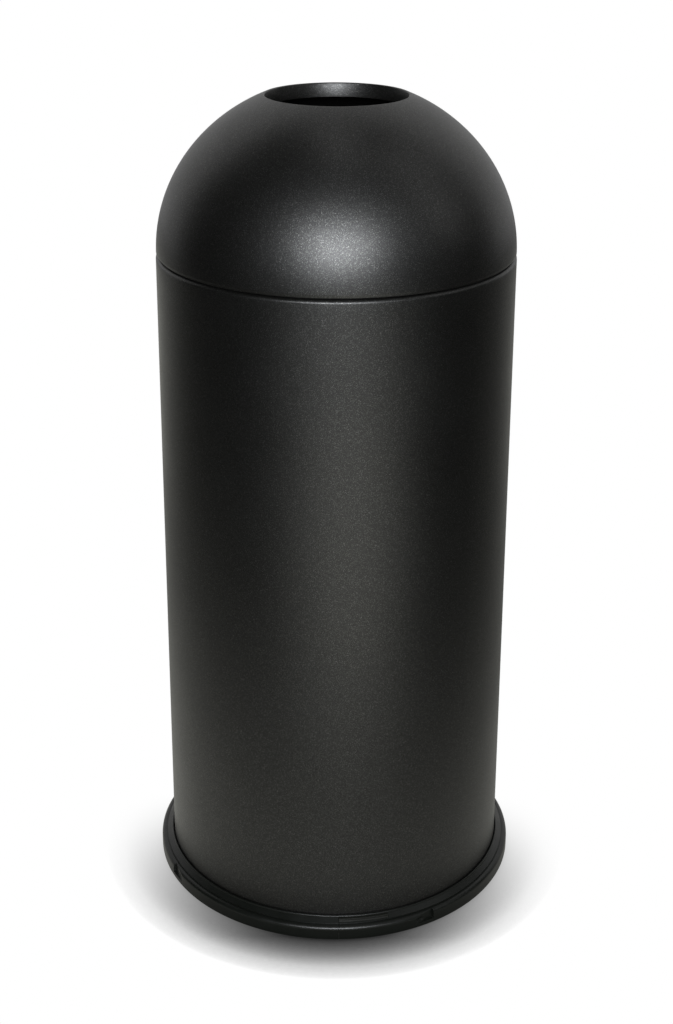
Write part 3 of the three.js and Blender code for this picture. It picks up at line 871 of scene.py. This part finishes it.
    def is_underside(self, r: float, z: float) -> bool:
        """Whether a point of the section is on the hollow's ceiling."""
        return any(abs(r - a) < self.fine and abs(z - b) < self.fine for a, b in self.ceiling)

    def columns(self) -> list[float]:
        """Azimuths of the ring's columns, from one side of the split round to the other."""
        extra: list[float] = []
        steps = 14
        for middle, _ in self.pocket_places():
            extra += [middle + self.pocket_span * (step / steps - 0.5) for step in range(1, steps)]
            for side in (-1, 1):
                edge = middle + side * self.pocket_span / 2
                extra += [edge - self.fine, edge + self.fine / 2, edge - self.fine / 2, edge + self.fine]
        splice_end = self.split_azimuth + self.splice_span
        extra += [splice_end, splice_end + 2 * self.fine]
        half_rib = math.degrees(self.rib_thickness / 2 / self.radius)
        for rib in range(self.rib_count):
            middle = 180 / self.rib_count + 360 * rib / self.rib_count
            extra += [middle - half_rib - self.fine, middle - half_rib + self.fine]
            extra += [middle + half_rib - self.fine, middle + half_rib + self.fine, middle]
        half_split = math.degrees(self.split_width / 2 / self.radius)
        start = self.split_azimuth + half_split
        turns = around(288, extra)
        inside = sorted({round((a - start) % 360, 5) for a in turns} | {0.0, 360 - 2 * half_split})
        return [start + turn for turn in inside if turn <= 360 - 2 * half_split]

    def splice_section(self) -> Outline:
        """Closed section of the splice cover: a thin strip with two fine ridges."""
        start, end = self.splice_start, self.bead_start - GAP
        width = end - start
        steps = 24
        top = []
        for step in range(steps + 1):
            share = step / steps
            offs = [(share - middle) * self.ridge_narrowness for middle in self.ridge_shares]
            ridge = max(math.exp(-off * off) for off in offs)
            ease = math.sqrt(min(1.0, min(share, 1 - share) / self.splice_edge))
            rise = (self.splice_proud + self.splice_ridge * ridge) * ease
            top.append(self.on_land(start + width * share, rise))
        return [*top, self.on_land(end, -self.splice_sunk), self.on_land(start, -self.splice_sunk)]

    def build(self) -> None:
        """Builds the ring and its splice cover."""
        ring = spin(self.section(), self.columns(), self.moulded, whole=False)
        self.add("moulded_ring", ring, POLYPROPYLENE, "base_ring")
        start = self.split_azimuth + math.degrees(self.split_width / 2 / self.radius)
        end = self.split_azimuth + self.splice_span
        steps = 20
        turns = [start + (end - start) * step / steps for step in range(steps + 1)]
        cover = spin(self.splice_section(), turns, whole=False)
        self.add("splice_cover", cover, STRIP, "ring_splice")


@dataclass
class BodyCan(SubAssembly):
    """Rolled cylinder with its curled rim and turned-in foot, the bottom pan and its screws."""

    sheet: float = 1.2
    curl_radius: float = 4.0
    curl_turn: float = 252.0
    bend_radius: float = 3.0
    flange_width: float = 16.0
    lap_width: float = 13.0
    lap_inset: float = 14.0
    seam_azimuth: float = 180.0
    seam_width: float = 1.6
    seam_depth: float = 0.25
    # Half the width, in millimetres, of the steps at the lap's ends.
    fine: float = 0.05
    pan_rise: float = 4.0
    pan_step_inner: float = 161.0
    pan_step_width: float = 5.0
    screw_count: int = 4
    screw_first: float = 45.0
    head_radius: float = 4.2
    head_height: float = 2.4
    # The head's face is slightly crowned inside its rounded rim.
    face_share: float = 0.8
    crown: float = 0.25
    rim_middle: float = 0.9
    rim_half_height: float = 0.65
    shank_radius: float = 2.0
    recess_width: float = 1.0
    recess_length: float = 4.6
    recess_depth: float = 1.2

    def __post_init__(self) -> None:
        """Takes the cylinder's radius and heights from the frame."""
        self.rider = Rider.BODY
        self.radius, self.foot, self.top = node_size("body_shell")
        self.pan_radius, self.pan_foot, _ = node_size("bottom_pan")
        self.screw_circle = self.radius - self.flange_width / 2
        self.throat = self.radius - 2 * self.curl_radius

    def seamed(self, r: float, z: float, azimuth: float) -> Point:
        """Adds the dressed weld line outside and the lap inside to a point of the section."""
        off = abs(apart(azimuth, self.seam_azimuth))
        width = math.radians(off) * self.radius
        if abs(r - self.radius) < MM and width < self.seam_width / 2:
            return (r - self.seam_depth * (1 - (2 * width / self.seam_width) ** 2), z)
        inside = abs(r - self.radius + self.sheet) < MM
        between = self.foot + self.lap_inset < z < self.top - self.lap_inset
        if inside and between and width < self.lap_width / 2:
            return (r - self.sheet, z)
        return (r, z)

    def build_shell(self) -> None:
        """Builds the cylinder."""
        bend, curl = self.bend_radius, self.curl_radius
        path = [
            (self.radius - self.flange_width, self.foot),
            *arc((self.radius - bend, self.foot + bend), bend, -90, 0, 8),
            *[(self.radius, self.foot + self.lap_inset + side * self.fine) for side in (-1, 1)],
            *[(self.radius, self.top - self.lap_inset + side * self.fine) for side in (-1, 1)],
            *arc((self.radius - curl, self.top - curl), curl, 0, self.curl_turn, 30),
        ]
        half = self.seam_width / 2
        seam = [math.degrees(half * share / self.radius) for share in (-1, -0.6, -0.3, 0, 0.3, 0.6, 1)]
        lap = math.degrees(self.lap_width / 2 / self.radius)
        edges = [side * (lap + step) for side in (-1, 1) for step in (-0.01, 0.01)]
        columns = around(256, [self.seam_azimuth + off for off in [*seam, *edges]])
        shell = spin(sheet(path, self.sheet), columns, self.seamed)
        self.add("rolled_cylinder", shell, POWDER_COAT, "body_shell")

    def build_pan(self) -> None:
        """Builds the pressed pan, with its bends rounded."""
        rise, step = self.pan_foot + self.pan_rise, self.pan_step_inner
        soft = self.sheet
        outer = self.pan_radius
        section = rounded(
            [
                (step, rise, soft),
                (step + self.pan_step_width, self.pan_foot, 2 * soft),
                (outer, self.pan_foot, soft / 3),
                (outer, self.pan_foot + self.sheet, soft / 3),
                (step + self.pan_step_width, self.pan_foot + self.sheet, soft),
                (step, rise + self.sheet, 2 * soft),
            ]
        )
        outline = [(0.0, rise), *section, (0.0, rise + self.sheet)]
        self.add("pressed_pan", spin(outline, around(160)), POWDER_COAT, "bottom_pan")

    def recessed(self, r: float, z: float, azimuth: float) -> Point:
        """Presses the cross recess into a point of the screw head's lower face."""
        if z > self.head_height / 2 or r > self.recess_length / 2:
            return (r, z)
        x = abs(r * math.sin(math.radians(azimuth)))
        y = abs(r * math.cos(math.radians(azimuth)))
        return (r, z + self.recess_depth) if min(x, y) < self.recess_width / 2 else (r, z)

    def build_screws(self) -> None:
        """Builds the pan-head screws that hold ring, body and pan together."""
        _, low, high = node_size("base_screw_1")
        tip = high - low
        flat, steps = self.head_radius * self.face_share, 16
        rim = (self.head_radius - flat, self.rim_half_height)
        profile = [
            *[(flat * step / steps, self.crown * (step / steps) ** 2) for step in range(steps + 1)],
            *ellipse((flat, self.rim_middle), rim, -90, 0, 5)[1:],
            (self.head_radius, self.head_height),
            (self.shank_radius, self.head_height),
            (self.shank_radius, tip - self.shank_radius),
            (0.0, tip),
        ]
        for index in range(self.screw_count):
            azimuth = math.radians(self.screw_first + 360 * index / self.screw_count)
            place = Vector((math.sin(azimuth), -math.cos(azimuth), 0)) * self.screw_circle * MM
            place.z = low * MM
            screw = spin(profile, around(72), self.recessed)
            bmesh.ops.transform(screw, matrix=Matrix.Translation(place), verts=screw.verts)
            self.add(f"pan_head_screw_{index + 1}", screw, ZINC_PLATE, f"base_screw_{index + 1}")

    def build(self) -> None:
        """Builds cylinder, pan and screws."""
        self.build_shell()
        self.build_pan()
        self.build_screws()


@dataclass
class Dome(SubAssembly):
    """Spun dome with its turned-down mouth, and the locating skirt inside its edge."""

    sheet: float = 1.2
    semi_height: float = 176.6
    mouth_radius: float = 74.3
    lip_radius: float = 1.5
    flange_depth: float = 14.8
    flange_draft: float = 10.0
    skirt_depth: float = 16.0
    skirt_bend: float = 1.8
    skirt_clearance: float = 0.8
    # Inner radius of the body's curl, inside which the skirt drops.
    throat: float = 182.5
    # Precision, in radians, of the place where the lip starts.
    precision: float = 1e-9

    def __post_init__(self) -> None:
        """Takes the dome's radius and foot from the frame."""
        self.rider = Rider.DOME
        self.radius, self.foot, self.crest = node_size("dome_shell")

    def lip_start(self) -> float:
        """Angle on the ellipse, in degrees, at which the lip's arc takes over smoothly."""
        low, high = 0.0, math.pi / 2
        while high - low > self.precision:
            angle = (low + high) / 2
            normal = self.normal_at(angle)
            reach = self.radius * math.cos(angle) - self.lip_radius * normal.x
            if reach > self.mouth_radius + self.lip_radius:
                low = angle
            else:
                high = angle
        return math.degrees(low)

    def normal_at(self, angle: float) -> Vector:
        """Outward normal (r, z) of the ellipse at a parameter angle in radians."""
        return Vector((math.cos(angle) / self.radius, math.sin(angle) / self.semi_height)).normalized()

    def build_shell(self) -> None:
        """Builds the spun shell: crown, lip and turned-down flange."""
        end = self.lip_start()
        normal = self.normal_at(math.radians(end))
        height = self.crest - self.lip_radius
        centre = (self.mouth_radius + self.lip_radius, height)
        first = math.degrees(math.atan2(normal.y, normal.x))
        drop = self.flange_depth - self.lip_radius
        taper = drop * math.tan(math.radians(self.flange_draft))
        path = [
            *ellipse((0, self.foot), (self.radius, self.semi_height), 0, end, 90),
            *arc(centre, self.lip_radius, first, 180 - self.flange_draft, 16)[1:],
            (self.mouth_radius - taper, height - drop),
        ]
        self.add("spun_dome", spin(sheet(path, self.sheet), around(256)), POWDER_COAT, "dome_shell")

    def build_skirt(self) -> None:
        """Builds the locating skirt: upstand, ledge on the body's curl, and leg."""
        outer, low, high = node_size("dome_skirt")
        ledge = low + self.skirt_depth
        leg = self.throat - self.skirt_clearance
        path = rounded(
            [
                (outer, high, 0),
                (outer, ledge, self.skirt_bend),
                (leg, ledge, self.skirt_bend),
                (leg, low, 0),
            ]
        )
        self.add("locating_skirt", spin(sheet(path, -self.sheet), around(192)), POWDER_COAT, "dome_skirt")

    def build(self) -> None:
        """Builds shell and skirt."""
        self.build_shell()
        self.build_skirt()


@dataclass
class Liner(SubAssembly):
    """Galvanised liner: tapered wall, beaded collar, wired rim, pressed bottom and ears."""

    sheet: float = 0.8
    taper: float = 12.0
    bead_radius: float = 2.4
    bead_height: float = 636.0
    wire_radius: float = 2.0
    bottom_rise: float = 9.0
    bottom_bend: float = 3.0
    # A round swage stiffens the bottom; its place is a share of the bottom's radius.
    swage_share: float = 0.72
    swage_radius: float = 3.2
    seam_azimuth: float = 180.0
    seam_width: float = 7.0
    seam_height: float = 0.6
    ear_sheet: float = 1.6
    ear_width: float = 36.0
    ear_round: float = 0.5
    hub_radius: float = 8.5
    hub_round: float = 2.2
    hub_flare: float = 1.5
    wire_hole: float = 2.9
    rivet_spacing: float = 26.0
    rivet_radius: float = 1.5
    head_radius: float = 3.0
    head_height: float = 1.3
    head_round: float = 0.4

    def __post_init__(self) -> None:
        """Takes the liner's rim, foot and ears from the frame."""
        self.rider = Rider.LINER
        self.rim_outer, self.foot, self.top = node_size("liner_wall")
        self.curl = self.wire_radius + GAP + self.sheet
        self.collar = self.rim_outer - 2 * self.curl
        self.ear_inner = self.collar + self.sheet + GAP
        _, self.ear_bottom, self.ear_top = node_size("bail_ear_right")
        self.hub_face = node_size("bail_ear_right")[0]
        self.pivot = (self.ear_bottom + self.ear_top) / 2

    def seamed(self, r: float, z: float, azimuth: float) -> Point:
        """Adds the folded side seam to a point of the wall's outer face."""
        width = abs(math.radians(apart(azimuth, self.seam_azimuth)) * r)
        inner = self.collar - self.taper * (self.bead_height - z) / (self.bead_height - self.foot)
        outside = z < self.bead_height - 2 * self.bead_radius and r - inner > self.sheet / 2
        if outside and width < self.seam_width / 2:
            return (r + self.seam_height, z)
        return (r, z)

    def build_wall(self) -> None:
        """Builds the wall with its bead and rim, and the wire inside the rim."""
        rim = (self.collar + self.curl, self.top - self.curl)
        path = [
            (self.collar - self.taper, self.foot),
            *arc((self.collar, self.bead_height), self.bead_radius, -90, 90, 12),
            *arc(rim, self.curl, 180, -90, 24),
        ]
        half = math.degrees(self.seam_width / 2 / self.collar)
        edges = [self.seam_azimuth + side * (half + step) for side in (-1, 1) for step in (-0.03, 0.03)]
        wall = spin(sheet(path, -self.sheet), around(192, edges), self.seamed)
        self.add("tapered_liner", wall, GALVANISED, "liner_wall")
        wire = spin(arc(rim, self.wire_radius, 0, 360, 16)[1:], around(128))
        self.add("rim_wire", wire, ZINC_PLATE, "liner_rim_wire")

    def build_bottom(self) -> None:
        """Builds the pressed bottom, its flange turned down inside the wall's foot."""
        outer = node_size("liner_bottom")[0]
        flange = outer - self.sheet
        floor = self.foot + self.bottom_rise
        bend, bend_steps = self.bottom_bend, 8
        ring = self.swage_share * flange
        path = [
            (0.0, floor),
            *arc((ring, floor), self.swage_radius, 180, 0, 12),
            *arc((flange - bend, floor - bend), bend, 90, 0, bend_steps),
            (flange, self.foot),
        ]
        upper = [(r, z + self.sheet) for r, z in path[:-bend_steps - 2]]
        upper += arc((flange - bend, floor - bend), bend + self.sheet, 90, 0, bend_steps)
        outline = [*path, (flange + self.sheet, self.foot), *reversed(upper)]
        self.add("pressed_bottom", spin(outline, around(160)), GALVANISED, "liner_bottom")

    def build_ear(self, side: str, turn: float) -> None:
        """Builds one ear: a curved plate and the hub pressed out of it.

        Args:
            side: "right" or "left".
            turn: Azimuth of the ear in degrees.
        """
        half = math.degrees(self.ear_width / 2 / self.ear_inner)
        outer = self.ear_inner + self.ear_sheet
        ease, flare = self.ear_round, self.hub_flare
        plate = spin(
            rounded(
                [
                    (self.ear_inner, self.ear_bottom, ease),
                    (outer, self.ear_bottom, ease),
                    (outer, self.ear_top, ease),
                    (self.ear_inner, self.ear_top, ease),
                ]
            ),
            [turn - half + 2 * half * step / 24 for step in range(25)],
            whole=False,
        )
        height = self.hub_face - outer + ease
        profile = [
            (self.wire_hole, height - self.ear_sheet),
            (self.wire_hole, height),
            *arc((self.hub_radius - self.hub_round, height - self.hub_round), self.hub_round, 90, 0, 8),
            (self.hub_radius, flare + ease),
            *arc((self.hub_radius + flare, flare + ease), flare, 180, 270, 6)[1:],
            (self.hub_radius + flare, 0.0),
            (self.hub_radius - self.ear_sheet, 0.0),
            (self.hub_radius - self.ear_sheet, height - self.ear_sheet),
        ]
        hub = turned(profile, 48, self.towards(turn, outer - ease, self.pivot))
        self.add(f"ear_{side}", joined([plate, hub]), GALVANISED, f"bail_ear_{side}")

    def towards(self, azimuth: float, reach: float, height: float) -> Matrix:
        """Placement whose +Z looks outwards along an azimuth, at a reach and a height."""
        tip = Matrix.Rotation(math.pi / 2, 4, "Y")
        outwards = Matrix.Rotation(math.radians(azimuth - 90), 4, "Z") @ tip
        lift = Matrix.Translation((0, 0, height * MM))
        return lift @ outwards @ Matrix.Translation((0, 0, reach * MM))

    def build_rivets(self) -> None:
        """Builds two rivets in each ear, with domed heads outside and flat heads inside."""
        half = math.degrees(self.rivet_spacing / 2 / (self.collar + self.sheet))
        outer = self.ear_inner + self.ear_sheet + GAP
        inner = self.collar - 2 * GAP
        ease = self.head_round
        profile = [
            (0.0, inner - self.head_height),
            *arc((self.head_radius - ease, inner - self.head_height + ease), ease, -90, 0, 3),
            (self.head_radius, inner),
            (self.rivet_radius, inner),
            (self.rivet_radius, outer),
            (self.head_radius, outer),
            *ellipse((0, outer), (self.head_radius, self.head_height), 0, 90, 8)[1:-1],
            (0.0, outer + self.head_height),
        ]
        turns = [ear + side * half for ear in (90, 270) for side in (1, -1)]
        for index, turn in enumerate(turns):
            rivet = turned(profile, 32, self.towards(turn, 0, self.pivot))
            self.add(f"tubular_rivet_{index + 1}", rivet, ZINC_PLATE, f"ear_rivet_{index + 1}")

    def build(self) -> None:
        """Builds wall, bottom, ears and rivets."""
        self.build_wall()
        self.build_bottom()
        self.build_ear("right", 90)
        self.build_ear("left", 270)
        self.build_rivets()


@dataclass
class Bail(SubAssembly):
    """Lifting bail: a bent wire hooked into the ears, with a vinyl sleeve on its middle."""

    wire_radius: float = 2.5
    bend_radius: float = 3.0
    grip_radius: float = 4.0
    grip_half_span: float = 16.0
    grip_steps: int = 40
    # Shares of the full radius at the sleeve's ends, one step in, and at the wire's ends.
    grip_end: float = 0.82
    grip_next: float = 0.96
    wire_end: float = 0.75
    hook_reach: float = 9.8
    hook_tip: float = 0.8
    seat_radius: float = 170.4

    def __post_init__(self) -> None:
        """Takes the bail's radius from its node and its pivot from its joint."""
        self.rider = Rider.BAIL
        self.radius = node_size("bail_wire")[0] - self.wire_radius
        swing = next(joint for joint in frame["joints"] if joint["name"] == "bail_swing")
        self.pivot = swing["pos_m"][2]
        self.rest_tilt = math.acos(self.seat_radius / self.radius)

    def lie(self, points: Outline) -> list[Vector]:
        """Points of the bail's own plane (x, y) in the place where it rests, in metres."""
        tilt = Matrix.Rotation(self.rest_tilt, 3, "X")
        return [tilt @ Vector((x * MM, y * MM, 0)) + Vector((0, 0, self.pivot)) for x, y in points]

    def build(self) -> None:
        """Builds wire and sleeve."""
        bend = self.bend_radius
        turn = math.degrees(bend / self.radius)
        right = [
            (self.radius - self.hook_reach, 0.0),
            (self.radius - self.hook_reach + self.hook_tip, 0.0),
            *arc((self.radius - bend, -bend), bend, 90, 0, 8),
            *arc((0, 0), self.radius, -turn, -90, 60)[1:],
        ]
        left = [(-x, y) for x, y in reversed(right[:-1])]
        wire = tube(self.lie([*right, *left]), self.wire_width, 16)
        self.add("bail_rod", wire, ZINC_PLATE, "bail_wire")
        span = self.grip_half_span
        middle = arc((0, 0), self.radius, -90 + span, -90 - span, self.grip_steps)
        self.add("grip_sleeve", tube(self.lie(middle), self.grip_width, 24), VINYL, "bail_grip")

    def wire_width(self, share: float) -> float:
        """Wire radius: full along its length, chamfered at its two ends."""
        return self.wire_radius * (self.wire_end if share in (0, 1) else 1)

    def grip_width(self, share: float) -> float:
        """Sleeve radius: full along its length, eased over its cut ends."""
        step = round(min(share, 1 - share) * self.grip_steps)
        return self.grip_radius * {0: self.grip_end, 1: self.grip_next}.get(step, 1.0)


# ---- Studio ----------------------------------------------------------------------------------


@dataclass(frozen=True)
class SoftLight:
    """An area lamp: where it stands, what it looks at, its size in metres and its power."""

    name: str
    place: tuple[float, float, float]
    target: tuple[float, float, float]
    size: tuple[float, float]
    watts: float
    tint: str = WHITE

    def hang(self) -> None:
        """Adds the lamp to the scene."""
        data = bpy.data.lights.new(self.name, "AREA")
        data.shape = "RECTANGLE"
        data.size, data.size_y = self.size
        data.energy = self.watts
        data.color = colour(self.tint)[:3]
        lamp = bpy.data.objects.new(self.name, data)
        aim = Vector(self.target) - Vector(self.place)
        turn = aim.to_track_quat("-Z", "Y").to_matrix().to_4x4()
        lamp.matrix_world = Matrix.Translation(self.place) @ turn
        bpy.context.scene.collection.objects.link(lamp)


@dataclass(frozen=True)
class LightPool:
    """A soft pool of light on the floor: its middle, its half widths in metres and its level."""

    middle: Point
    reach: Point
    level: float

    def strength(self, tree: Tree, place: Socket) -> Socket:
        """Builds the pool's level at a place: a bell over the floor.

        Args:
            tree: Node tree that gets the nodes.
            place: Position in metres.

        Returns:
            The level, which falls off smoothly from the middle.
        """
        off = vectors(tree, "SUBTRACT", place, (*self.middle, 0.0))
        scaled = vectors(tree, "DIVIDE", off, (*self.reach, 1.0))
        square = add_node(tree, "VectorMath", {"operation": "DOT_PRODUCT"}, {0: scaled, 1: scaled})
        fall = maths(tree, "POWER", math.exp(-1), square.outputs["Value"])
        return maths(tree, "MULTIPLY", fall, self.level)


@dataclass
class Studio:
    """Pale floor with pools of soft light on it, soft lamps, dark flags and a white world."""

    floor_half_width: float = 3.8
    paper_colour: str = "f4f4f2"
    # The contact shadow: how far it looks for the receptacle, the way it looks, its strength
    # and its samples. It ends at a distance from the axis, where it has faded for a while.
    shadow_reach: float = 0.066
    shadow_lean: tuple[float, float, float] = (0.1, 0.95, 0.3)
    shadow_power: float = 3.9
    shadow_samples: int = 24
    shadow_end: float = 0.6
    shadow_fade: float = 0.2
    # It falls forwards: it fades out from one depth (y) to the other.
    shadow_full: float = -0.2
    shadow_none: float = 0.08
    flag_colour: str = "0a0a0a"
    flag_radius: float = 4.0
    flag_bottom: float = -1.0
    flag_height: float = 4.5
    flag_span: float = 115.0
    pool_tint: str = "fffff6"
    # What reflections see behind the receptacle, where no flag hangs.
    rear_level: float = 0.64

    def lamps(self) -> list[SoftLight]:
        """The lamps: two softboxes near the camera, and three weak ones at the right and above."""
        aim = (0.0, 0.0, 0.75)
        return [
            SoftLight("key_softbox", (0.05, -2.5, 1.62), aim, (1.7, 0.5), 54.0, "f7faff"),
            SoftLight("low_softbox", (0.05, -2.6, 1.3), aim, (0.8, 0.4), 23.0, "f7faff"),
            SoftLight("side_softbox", (2.2, -0.6, 1.9), aim, (1.2, 1.2), 3.0),
            SoftLight("high_softbox", (1.3, -0.2, 2.6), aim, (1.0, 1.0), 1.8),
            SoftLight("top_softbox", (0.03, -0.1, 2.6), aim, (0.4, 1.2), 1.5),
        ]

    def pools(self) -> list[LightPool]:
        """The pools on the floor: in front, close round the foot, and behind."""
        return [
            LightPool((0.253, -1.309), (0.631, 0.447), 2.3),
            LightPool((-0.12, 0.05), (0.6, 0.6), 0.62),
            LightPool((-0.25, 2.2), (1.7, 1.4), 1.15),
        ]

    def paper(self) -> bpy.types.Material:
        """Material of the floor.

        To the camera it is plain white with the object's contact shadow. Reflections see the
        pools of light on it, other light meets white paper, and from below it isn't seen.
        """
        made = blank_material("white_background_paper")
        tree = made.node_tree
        geometry = add_node(tree, "NewGeometry").outputs
        place = geometry["Position"]
        shade = self.shadow(tree, place)
        white = add_node(tree, "Emission", inputs={"Strength": shade})
        lit = add_node(tree, "BsdfDiffuse", inputs={"Color": colour(self.paper_colour)})
        levels = [pool.strength(tree, place) for pool in self.pools()]
        while len(levels) > 1:
            levels.append(maths(tree, "ADD", levels.pop(), levels.pop()))
        inputs = {"Color": colour(self.pool_tint), "Strength": maths(tree, "MULTIPLY", levels[0], shade)}
        mirrored = add_node(tree, "Emission", inputs=inputs)
        seen, glossy = ray_shares(tree)
        surface = lit.outputs[0]
        transparent = add_node(tree, "BsdfTransparent")
        for share, other in ((glossy, mirrored), (seen, white), (geometry["Backfacing"], transparent)):
            inputs = {0: share, 1: surface, 2: other.outputs[0]}
            surface = add_node(tree, "MixShader", inputs=inputs).outputs[0]
        add_node(tree, "OutputMaterial", inputs={"Surface": surface})
        return made

    def shadow(self, tree: Tree, place: Socket) -> Socket:
        """Builds the contact shadow.

        Args:
            tree: Node tree that gets the nodes.
            place: Position in metres.

        Returns:
            The floor's share of white: 0 in full shadow, 1 clear of it.
        """
        lean = Vector(self.shadow_lean).normalized()
        look = add_node(tree, "CombineXYZ", inputs={0: lean.x, 1: lean.y, 2: lean.z})
        inputs = {"Distance": self.shadow_reach, "Normal": look.outputs[0]}
        near = add_node(tree, "AmbientOcclusion", {"samples": self.shadow_samples}, inputs)
        dark = maths(tree, "POWER", near.outputs["AO"], self.shadow_power)
        away = add_node(tree, "VectorMath", {"operation": "LENGTH"}, {0: place}).outputs["Value"]
        clear = ramp(tree, away, self.shadow_end - self.shadow_fade, self.shadow_end)
        depth = add_node(tree, "SeparateXYZ", inputs={0: place}).outputs[1]
        aside = ramp(tree, depth, self.shadow_full, self.shadow_none)
        return ramp(tree, dark, 0.0, 1.0, maths(tree, "MAXIMUM", aside, clear))

    def felt(self) -> bpy.types.Material:
        """Material of the dark flags."""
        made = blank_material("black_felt")
        inputs = {"Color": colour(self.flag_colour)}
        cloth = add_node(made.node_tree, "BsdfDiffuse", inputs=inputs)
        add_node(made.node_tree, "OutputMaterial", inputs={"Surface": cloth.outputs[0]})
        return made

    def lay_paper(self) -> None:
        """Lays the floor."""
        half = self.floor_half_width
        floor = bmesh.new()
        corners = [(-half, -half), (half, -half), (half, half), (-half, half)]
        floor.faces.new([floor.verts.new((x, y, 0.0)) for x, y in corners])
        ground = make_object("paper_floor", floor)
        ground.data.materials.append(self.paper())

    def hang_flags(self) -> None:
        """Hangs dark flags round the front and sides, which only reflections see."""
        mesh = bmesh.new()
        steps = 24
        rows = []
        for step in range(steps + 1):
            angle = math.radians(self.flag_span * (2 * step / steps - 1))
            x, y = self.flag_radius * math.sin(angle), -self.flag_radius * math.cos(angle)
            rows.append([mesh.verts.new((x, y, z)) for z in (self.flag_bottom, self.flag_height)])
        for here, there in zip(rows, rows[1:]):
            mesh.faces.new((here[0], there[0], there[1], here[1]))
        mesh.faces.new([row[1] for row in rows])
        mesh.faces.new([row[0] for row in reversed(rows)])
        flags = make_object("felt_flags", mesh)
        flags.data.materials.append(self.felt())
        for rays in ("camera", "diffuse", "shadow", "transmission"):
            setattr(flags, f"visible_{rays}", False)

    def set_world(self) -> None:
        """White to the camera, a plain grey in reflections, and no light of its own on anything."""
        world = bpy.data.worlds.new("studio")
        bpy.context.scene.world = world
        world.use_nodes = True
        tree = world.node_tree
        tree.nodes.clear()
        seen, glossy = ray_shares(tree)
        level = maths(tree, "MULTIPLY_ADD", glossy, self.rear_level, seen)
        inputs = {"Color": colour(WHITE), "Strength": level}
        white = add_node(tree, "Background", inputs=inputs)
        add_node(tree, "OutputWorld", inputs={"Surface": white.outputs[0]})

    def build(self) -> None:
        """Builds the whole set."""
        self.lay_paper()
        self.hang_flags()
        self.set_world()
        for lamp in self.lamps():
            lamp.hang()
        bpy.context.scene.view_settings.view_transform = "Standard"


@dataclass(frozen=True)
class PhotographCamera:
    """Camera at the photograph's place and angle. The picture is 673 by 1024 pixels."""

    distance: float = 1.7437
    height: float = 1.1693
    yaw: float = math.radians(-0.208)
    pitch: float = math.radians(19.83)
    roll: float = math.radians(0.132)
    focal_px: float = 1692.8
    centre_px: Point = (329.96, 408.9)
    picture_px: Point = (673, 1024)
    sensor_mm: float = 36.0

    def place(self) -> None:
        """Adds the camera and makes it the scene's."""
        data = bpy.data.cameras.new("photograph_camera")
        long_side = max(self.picture_px)
        data.sensor_width = self.sensor_mm
        data.lens = self.focal_px * self.sensor_mm / long_side
        data.shift_x = (self.picture_px[0] / 2 - self.centre_px[0]) / long_side
        data.shift_y = (self.centre_px[1] - self.picture_px[1] / 2) / long_side
        camera = bpy.data.objects.new("photograph_camera", data)
        level = Matrix.Rotation(-self.yaw, 4, "Z") @ Matrix.Rotation(math.pi / 2 - self.pitch, 4, "X")
        spot = Matrix.Translation((0, -self.distance, self.height))
        camera.matrix_world = spot @ level @ Matrix.Rotation(self.roll, 4, "Z")
        bpy.context.scene.collection.objects.link(camera)
        bpy.context.scene.camera = camera


def main() -> None:
    """Builds the receptacle in order, then the set and the camera."""
    logging.basicConfig(level=logging.INFO, format="%(name)s: %(message)s")
    can = BodyCan()
    for part in (BaseRing(), can, Dome(throat=can.throat), Liner(), Bail()):
        part.build()
        part.dress()
        for piece in part.pieces:
            details = (piece.thing.name, part.rider.value, len(piece.thing.data.polygons))
            LOG.info("%s: %s on %s, %d faces", type(part).__name__, *details)
    Studio().build()
    PhotographCamera().place()


if __name__ == "__main__":
    main()
